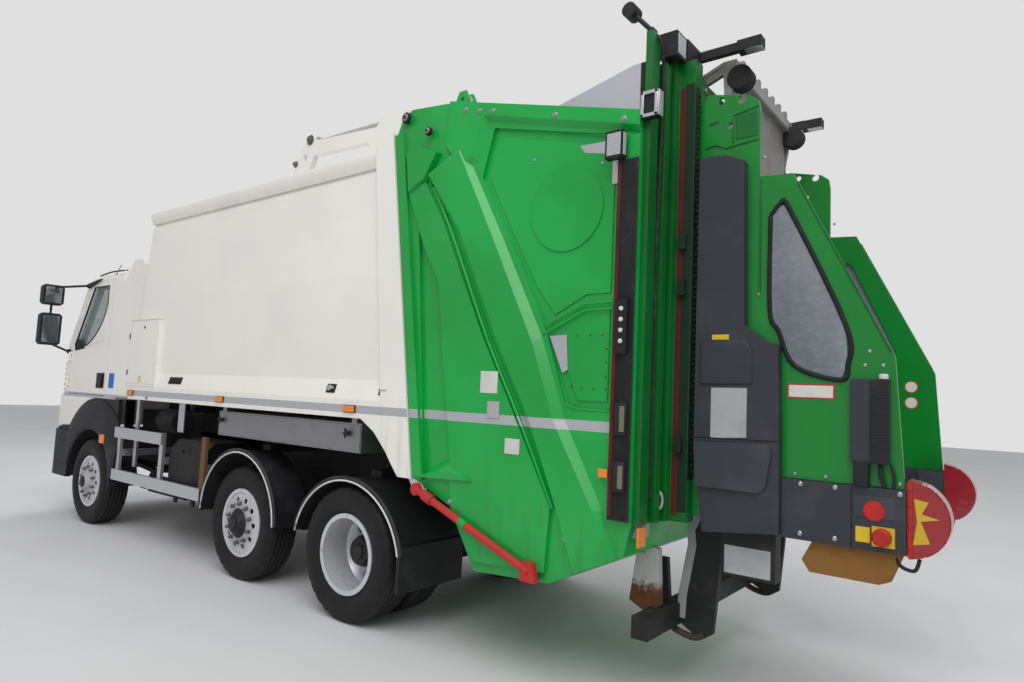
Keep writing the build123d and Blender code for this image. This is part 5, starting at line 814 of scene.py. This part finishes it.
for side in sides:
    bolts = Piece("tail_bolts", "steel", "boltSteel", 0.001, side)
    bolts.studs(tail["bandBolt"], tail["bandBolts"], tail["band"])
    bolts.studs(tail["footBolt"], tail["footBolts"], tail["sheet"])
    bolts.studs(tail["rivet"], tail["rivets"], tail["wall"])
    bosses = Piece("tail_bosses", "frame_black", "framePaint", 0.003, side)
    pins = Piece("tail_pins", "steel", "boltSteel", 0.002, side)
    for x, z, y, radius in tail["bosses"]:
        bosses.turned([(0, radius), (0.022, radius), (0.026, radius * 0.8)], (x, y + 0.001, z), 28)
        pins.turned([(0, radius * 0.66), (0.006, radius * 0.66), (0.008, radius * 0.5)], (x, y + 0.027, z), 28)
        bosses.turned([(0, radius * 0.34), (0.006, radius * 0.34)], (x, y + 0.035, z), 20)
    seams = Piece("tail_seams", "tail_green", "greenPaint", 0.002, side)
    for line in tail["seams"]:
        seams.strip(line, 0.012, 1.214, 1.221)
    seams.path([(x, 1.223, z) for x, z in tail["ridgeSeam"]], 0.011, 8, 8)
    grey = Piece("tail_patch", "steel", "guardMetal", 0.002, side)
    grey.plate([(-1.777, 2.102), (-1.899, 2.105), (-1.916, 1.897), (-1.878, 1.878)], 1.197, 1.206)
    grey.box((-1.443, -1.345), (tail["sheet"], 1.246), (1.585, 1.69))
    grey.plate([(-1.939, 3.254), (-2.205, 3.247), (-2.228, 3.149), (-1.977, 3.204)], tail["wall"], 1.1992)
    grey.plate([(-2.17, 3.149), (-2.228, 3.147), (-2.222, 2.979), (-2.17, 2.982)], tail["wall"], 1.1992)
    # black discs are painted shade for the dark inside of the holes in the wall
    Piece("tail_hole_shade", "frame_black", "blackRubber", side=side).studs(tail["hole"], tail["holes"], tail["wall"], 10)
    signs = Piece("tail_signs", "body_white", "paleSign", side=side)
    for rear, front, low, high in tail["signs"]:
        signs.box((rear, front), (tail["sheet"], 1.2415), (low, high))
    edge = Piece("edge_strip", "cover_grey", "darkStrip", 0.002, side)
    edge.box((strip["rear"], strip["front"]), (1.252, strip["face"]), (1.085, 3.09))
    for row in range(strip["ribs"]):
        x = row * strip["ribPitch"]
        edge.box((-2.345 + x, -2.338 + x), (strip["face"], 1.2565), (1.09, 3.085))
    red = Piece("edge_line", "lamp_red", "redEdge", side=side)
    red.box((-2.262, strip["front"]), (strip["face"], 1.2575), (1.1, 3.08))
    red.box((-2.482, -2.45), (0.9, 0.9025), (1.1, 3.6))
    cases = Piece("edge_lamp_cases", "dark_plastic", "darkPlastic", 0.004, side)
    panes = Piece("edge_lamp_panes", "lamp_red", "oliveLens", 0.003, side)
    for low, high in strip["lamps"]:
        cases.box((-2.345, -2.275), (1.2565, 1.276), (low, high))
        panes.box((-2.338, -2.308), (1.276, 1.279), (low + 0.02, high - 0.02))
    Piece("edge_lamps", "lamp_red", "orangeLens", 0.004, side).box((-2.232, -2.173), (1.24, 1.256), (1.301, 1.349))
    Piece("switch_knobs", "body_white", "paleSign", 0.002, side).studs(strip["knob"], strip["knobs"], 1.285, 16)
    shackle = Piece("tail_shackle", "steel", "boltSteel", side=side)
    shackle.path([(-2.41, 0.985, 1.24), (-2.435, 0.985, 1.2), (-2.43, 0.985, 1.15), (-2.4, 0.985, 1.13),
                  (-2.385, 0.985, 1.17)], 0.01)
    # the thin dark sheets at the channel webs are painted shade of the deep channels; the chain links and guides are
    # real parts in the same finish
    shadeSheetsAndChain = Piece("lift_channel_shade_and_chain", "frame_black", "channelDark", side=side)
    shadeSheetsAndChain.box((-2.384, -2.381), (0.952, 0.988), (1.1, 3.68))
    shadeSheetsAndChain.box((-2.384, -2.381), (1.053, 1.097), (1.1, 3.7))
    shadeSheetsAndChain.box((-2.5425, -2.54), (0.822, 0.898), (1.3, 3.6))
    shadeSheetsAndChain.box((-2.538, -2.484), (0.9, 0.9025), (1.12, 3.62))
    for link in range(chain["links"]):
        z = chain["low"] + link * chain["pitch"]
        shadeSheetsAndChain.box((-2.553, -2.5425), (0.846, 0.862 if link % 2 else 0.856), (z, z + chain["link"]))
    for z in chain["guides"]:
        shadeSheetsAndChain.box((-2.512, -2.47), (0.9025, 0.935), (z, z + 0.09))
    Piece("flood_faces", "glass", "clearLens", 0.003, side).box((-2.486, -2.48), (0.925, 1.028), (3.765, 3.886))
    lightFrame = Piece("light_frame", "body_white", "guardMetal", 0.003, side)
    for z in ((3.31, 3.33), (3.44, 3.46)):
        lightFrame.box((-2.475, -2.37), (1.25, 1.262), z)
    for x in ((-2.475, -2.455), (-2.39, -2.37)):
        lightFrame.box(x, (1.25, 1.262), (3.31, 3.46))
    lightFrame.box((-2.482, -2.475), (1.2, 1.255), (3.312, 3.458))
    work = Piece("work_lens", "glass", "clearLens", 0.003, side)
    work.box((-2.291, -2.285), (1.262, 1.293), (3.11, 3.24))
    work.box((-2.275, -2.187), (1.3, 1.304), (3.11, 3.24))
    stalk = Piece("stalk_lens", "lamp_red", "redLens", 0.002, side)
    stalk.turned([(0.0, 0.04), (0.03, 0.04), (0.036, 0.03)], (-2.255, 1.158, 4.005), 24, (0, -1, 0))
    armTop = Piece("lamp_arm_tops", "steel", "guardMetal", 0.002, side)
    armTop.box((-2.735, -2.35), (0.666, 0.704), (3.905, 3.911))
    armTop.plate([(-2.74, 3.842), (-2.862, 3.836), (-2.862, 3.83), (-2.74, 3.836)], 0.66, 0.73)
    cable = Piece("lift_cables", "dark_plastic", "blackRubber", side=side)
    cable.path([(-2.4, 1.06, 3.78), (-2.42, 1.075, 3.6), (-2.41, 1.07, 3.3), (-2.4, 1.075, 2.6),
                (-2.4, 1.07, 1.9), (-2.4, 1.075, 1.2)], 0.01)
    cable.path([(-2.37, 1.165, 3.88), (-2.42, 1.13, 3.8), (-2.42, 1.085, 3.7)], 0.007)
    cable.path([(-2.4, 0.975, 3.7), (-2.405, 0.972, 3.0), (-2.4, 0.976, 2.2), (-2.4, 0.972, 1.25)], 0.009)

print("stage: lift trim")
lift = {"face": 0.82, "cover": 0.885, "foot": 0.85, "inside": 0.795, "discs": (1.913, 1.804), "lamp": (-3.6, 1.23),
        "lampRadius": 0.185, "rimThick": 0.02,
        "window": ((-2.96, 2.78), (-3.013, 2.841), (-3.06, 2.801), (-3.341, 2.165), (-3.352, 1.961), (-3.315, 1.884),
                   (-3.095, 1.953), (-3.01, 2.14), (-2.962, 2.258)),
        "studs": ((-3.37, 2.03), (-3.45, 2.03), (-3.43, 1.96), (-3.51, 1.96), (-2.92, 3.12), (-2.9, 2.35), (-3.1, 1.39),
                  (-3.25, 1.39), (-3.58, 1.39)),
        "stud": [(0, 0.01), (0.004, 0.009), (0.006, 0.004)], "footBolt": [(0, 0.013), (0.004, 0.013), (0.008, 0.008)],
        "ribs": (((-2.6, 3.375), (-2.655, 3.385)), ((-2.575, 3.235), (-2.64, 3.245), (-2.7, 3.215), (-2.885, 3.235)),
                 ((-2.74, 3.24), (-2.74, 3.4), (-2.885, 3.43)), ((-2.905, 3.0), (-2.905, 2.35)),
                 ((-3.1, 2.95), (-3.545, 2.03))),
        "valveLines": (1.56, 1.62, 1.72, 1.8), "bracketBolts": (1.1, 1.2, 1.3, 1.37),
        "footBolts": ((-3.135, 1.345), (-3.3, 1.345), (-3.135, 1.095), (-3.3, 1.095), (-3.585, 1.345))}
for side in sides:
    seal = Piece("shield_seal", "dark_plastic", "sealRubber", 0.003, side)
    seal.path([(x, 0.823, z) for x, z in lift["window"] + lift["window"][:1]], 0.013, 10, 5)
    studs = Piece("shield_studs", "steel", "boltSteel", side=side)
    studs.studs(lift["stud"], lift["studs"], lift["face"], 10)
    studs.studs(lift["footBolt"], lift["footBolts"], lift["foot"])
    Piece("hood_ends", "frame_black", "framePaint", 0.002, side).box((-2.323, -2.285), (1.1, 1.107), (3.42, 3.722))
    ribs = Piece("shield_ribs", "tail_green", "greenFrame", 0.002, side)
    for line in lift["ribs"]:
        ribs.strip(line, 0.01, 0.819, 0.826)
    ribs.plate([(-2.755, 3.255), (-2.755, 3.385), (-2.88, 3.41), (-2.88, 3.255)], 0.819, 0.824)
    plates = Piece("shield_plates", "body_white", "paleSign", side=side)
    plates.box((-3.283, -3.065), (0.8215, 0.8225), (1.79, 1.853))
    for z in lift["discs"]:
        plates.turned([(0, 0.036), (0.0015, 0.036)], (-3.42, 0.7942, z), 32, (0, -1, 0))
    greys = Piece("cover_signs", "body_white", "greySign", side=side)
    greys.plate([(-2.666, 1.545), (-2.666, 1.825), (-2.866, 1.828), (-2.866, 1.56)], lift["cover"], 0.8865)
    greys.box((-2.975, -2.725), (lift["inside"], 0.7965), (0.815, 0.965))
    reds = Piece("red_marks", "lamp_red", "signRed", side=side)
    reds.box((-3.291, -3.057), (lift["face"], 0.8215), (1.782, 1.861))
    reds.turned([(0, 0.048), (0.0015, 0.048)], (-3.476, 0.8528, 1.253), 32)
    reds.turned([(0.01, 0.042), (0.04, 0.042), (0.048, 0.034)], (-3.512, 0.852, 1.135), 32)
    for z in lift["discs"]:
        reds.turned([(0, 0.042), (0.001, 0.042)], (-3.42, lift["inside"], z), 32, (0, -1, 0))
    yellows = Piece("yellow_marks", "body_white", "signYellow", side=side)
    yellows.box((-3.458, -3.394), (lift["foot"], 0.8515), (1.098, 1.172))
    yellows.box((-3.565, -3.467), (lift["foot"], 0.862), (1.088, 1.182))
    yellows.box((-2.762, -2.665), (0.885, 0.8865), (2.093, 2.122))
    emblem = Piece("lamp_emblems", "lamp_red", "fadedYellow", side=side)
    emblem.plate([(-3.64, 1.33), (-3.7, 1.32), (-3.672, 1.262), (-3.745, 1.245), (-3.668, 1.228), (-3.705, 1.13),
                  (-3.635, 1.115), (-3.652, 1.225)], 0.83, 0.8315)
    hinge = Piece("lamp_brackets", "lamp_red", "signRed", 0.002, side)
    hinge.box((-3.634, -3.612), (0.79, 0.836), (1.055, 1.405))
    for z in lift["bracketBolts"]:
        hinge.bolt((-3.623, 0.836, z), 0.007, 0.006)
    inset = Piece("cover_insets", "cover_grey", "coverPlastic", 0.012, side)
    inset.plate([(-2.6, 1.842), (-2.6, 2.085), (-2.845, 2.089), (-2.89, 2.045), (-2.893, 1.85)], 0.88, 0.894)
    pocket = Piece("cover_pockets", "cover_grey", "pocketPlastic", 0.014, side)
    pocket.plate([(-2.59, 1.275), (-2.575, 1.52), (-2.985, 1.535), (-3.0, 1.49), (-2.975, 1.315), (-2.94, 1.275)],
                 0.88, 0.906)
    pocket.box((-3.565, -3.385), (0.848, 0.8525), (1.218, 1.322))
    seams = Piece("cover_seams", "cover_grey", "sealRubber", side=side)
    seams.strip([(-2.57, 1.545), (-3.033, 1.552)], 0.006, 0.8845, 0.8865)
    seams.strip([(-3.04, 1.366), (-3.04, 1.075)], 0.005, 0.8495, 0.8515)
    seams.strip([(-3.375, 1.36), (-3.375, 1.066)], 0.005, 0.8495, 0.8515)
    valve = Piece("valve_covers", "cover_grey", "darkPlastic", 0.003, side)
    valve.box((-3.541, -3.462), (0.86, 0.872), (1.48, 1.888))
    for z in lift["valveLines"]:
        valve.box((-3.538, -3.466), (0.872, 0.8745), (z, z + 0.005))
    valve.box((-3.452, -3.385), (0.82, 0.868), (1.366, 1.485))
    valve.path([(-3.5, 0.845, 1.48), (-3.505, 0.85, 1.42), (-3.52, 0.84, 1.37)], 0.01)
    valve.path([(-3.545, 0.835, 1.48), (-3.56, 0.84, 1.42), (-3.555, 0.835, 1.37)], 0.008)
    valve.path([(-3.56, 0.8, 1.07), (-3.58, 0.815, 1.01), (-3.64, 0.815, 0.995), (-3.66, 0.8, 1.05)], 0.009)
    capTop = Piece("valve_caps", "body_white", "paleSign", 0.002, side)
    capTop.turned([(0, 0.022), (0.022, 0.022), (0.026, 0.018)], (-3.515, 0.842, 1.89), 20, (0, 0, 1))
    flap = Piece("ochre_flap", "dark_plastic", "ochreRubber", 0.001, side)
    outline = ((-3.598, 1.06), (-3.544, 0.926), (-3.49, 0.901), (-3.174, 0.903), (-3.136, 0.96), (-3.187, 1.06))
    flap.plate(outline, 0.8122, 0.8155)
    flap.plate(outline, 0.7925, 0.7958)
    rim = Piece("lamp_rims", "lamp_red", "paleLens", 0.002, side)
    inner, outer = (arcPoints(*lift["lamp"], radius, radius, 118, 242, 14)
                    for radius in (lift["lampRadius"], lift["lampRadius"] * (1 + lift["rimThick"])))
    for place in range(len(inner) - 1):
        rim.plate([inner[place], inner[place + 1], outer[place + 1], outer[place]], 0.705, 0.815)
    armEdge = Piece("underrun_edges", "frame_black", "wornWhite", 0.002, side)
    line = ((-2.541, 1.12), (-2.48, 0.994), (-2.489, 0.899), (-2.435, 0.6), (-2.428, 0.47))
    armEdge.strip([(x + 0.008, z) for x, z in line], 0.052, 0.65, 0.66)
    armEdge.box((-2.395, -2.335), (1.05, 1.16), (0.985, 1.06))
    hanger = Piece("underrun_hangers", "frame_black", "rustyWhite", 0.004, side)
    hanger.plate([(-2.225, 0.905), (-2.355, 0.88), (-2.37, 0.56), (-2.3, 0.5), (-2.175, 0.56)], 0.795, 0.845)
    for x, z in ((-2.26, 0.84), (-2.27, 0.7), (-2.26, 0.6)):
        hanger.bolt((x, 0.845, z), 0.012, 0.01)
    hoop = Piece("underrun_hoops", "frame_black", "rustHoop", side=side)
    hoop.path([(-2.235, 0.66, 0.585), (-2.284, 0.655, 0.48), (-2.355, 0.652, 0.412), (-2.415, 0.65, 0.385),
               (-2.5, 0.645, 0.372), (-2.56, 0.64, 0.4)], 0.02, 12, 6)
    Piece("foot_lamps", "lamp_red", "orangeLens", 0.004, side).box((-2.412, -2.4), (1.125, 1.215), (0.945, 1.05))

chair = {"slots": 9, "pitch": 0.115, "padBolts": (3.53, 3.65)}
rollers = Piece("chair_rollers", "tail_green", "blackRubber", 0.003, body="chair")
arms = Piece("chair_arm_faces", "tail_green", "wornWhite", 0.002, body="chair")
for side in eachSide(rollers, arms):
    rollers.turned([(0, 0.073), (0, 0.076), (0.096, 0.076), (0.096, 0.073)], (-2.69, 0.512, 3.74), 40)
    arms.strip([(-2.47, 3.795), (-2.59, 3.848)], 0.018, 0.6, 0.604)
    arms.strip([(-2.64, 3.775), (-2.616, 3.56)], 0.018, 0.6, 0.604)
arms.box((-2.674, -2.67), (-0.5, 0.5), (3.79, 3.85))
for row in range(chair["slots"]):
    along = row * chair["pitch"]
    arms.box((-2.632, -2.628), (-0.5 + along, -0.42 + along), (3.0, 3.1))
pads = Piece("carriage_pads", "tail_green", "boltSteel", 0.002, body="carriage")
for side in eachSide(pads):
    pads.rod((-2.44, 0.56, 3.76), (-2.44, 0.665, 3.76), 0.03, 24)
    for z in chair["padBolts"]:
        pads.bolt((-2.516, 0.7, z), 0.016, 0.012, (-1, 0, 0))
bands = Piece("strut_bands", "tail_green", "greenPaint")
for side in eachSide(bands):
    bands.rod((-1.18, 1.27, 0.918), (-1.235, 1.27, 0.897), 0.0265, 24)

print("stage: camera, lights and floor")
for piece in pieces:
    piece.done()
view = {"focal": 23.796, "place": (-5.2848, 4.5628, 1.7261), "yaw": 52.0066, "pitch": 4.6685, "roll": 2.589}


def setCamera():
    yaw, pitch, roll = (radians(view[key]) for key in ("yaw", "pitch", "roll"))
    ahead = Vector((cos(yaw) * cos(pitch), -sin(yaw) * cos(pitch), sin(pitch)))
    right = ahead.cross(Vector((0, 0, 1))).normalized()
    up = right.cross(ahead)
    turnedRight = cos(roll) * right + sin(roll) * up
    turnedUp = -sin(roll) * right + cos(roll) * up
    camera = bpy.data.objects.new("camera", bpy.data.cameras.new("camera"))
    bpy.context.scene.collection.objects.link(camera)
    camera.data.lens = view["focal"]
    camera.data.sensor_width = 36.0
    turn = Matrix((turnedRight, turnedUp, -ahead)).transposed().to_4x4()
    camera.matrix_world = Matrix.Translation(Vector(view["place"])) @ turn
    bpy.context.scene.camera = camera


studio = {"sky": 0.52, "skyColour": (0.97, 0.98, 1.0), "white": 0.93,
          "floor": (0.74, 0.74, 0.75), "floorShade": (0.7, 0.7, 0.71), "floorHalf": 40,
          # place, target, size, power
          "keyLamp": ((-7, 8, 13), (-1, 0, 1.5), 12.0, 1350.0), "fillLamp": ((8, -8, 9), (0, 0, 1.5), 9.0, 420.0)}


def softLamp(name, place, target, size, power):
    lamp = bpy.data.objects.new(name, bpy.data.lights.new(name, "AREA"))
    lamp.data.size = size
    lamp.data.energy = power
    lamp.location = place
    lamp.rotation_mode = "QUATERNION"
    lamp.rotation_quaternion = (Vector(target) - Vector(place)).to_track_quat("-Z", "Y")
    bpy.context.scene.collection.objects.link(lamp)


def setStudio():
    scene = bpy.context.scene
    scene.view_settings.view_transform = "Standard"
    world = bpy.data.worlds.new("studio")
    world.use_nodes = True
    scene.world = world
    sky = Nodes(world.node_tree)  # white for the camera and through glass
    background = sky.tree.nodes["Background"]
    sky.feed(background.inputs["Color"], studio["skyColour"])
    sky.feed(background.inputs["Strength"], studio["sky"])
    seen, through = sky.add("ShaderNodeLightPath", {}, {}, ("Is Camera Ray", "Is Transmission Ray"))
    white = sky.add("ShaderNodeBackground", {}, {"Strength": studio["white"]})
    blue = Wire(sky, background.outputs[0])
    mixed = sky.add("ShaderNodeMixShader", {}, {0: seen.work("MAXIMUM", seen, through), 1: blue, 2: white})
    sky.feed(sky.tree.nodes["World Output"].inputs["Surface"], mixed)
    for name in ("keyLamp", "fillLamp"):
        softLamp(name, *studio[name])
    f = Finish("floor")
    f.set(Base_Color=f.mix(f.noise(0.8, 4.0).ramp(0.3, 0.8), studio["floor"], studio["floorShade"]),
          Roughness=0.75 + f.noise(3.0) * 0.1, Normal=f.bump(f.noise(30.0), 0.05, 0.002))
    mesh = bpy.data.meshes.new("floor")
    half = studio["floorHalf"]
    mesh.from_pydata([(-half, -half, 0), (half, -half, 0), (half, half, 0), (-half, half, 0)], [], [(0, 1, 2, 3)])
    floor = bpy.data.objects.new("floor", mesh)
    mesh.materials.append(f.material)
    scene.collection.objects.link(floor)


setCamera()
setStudio()
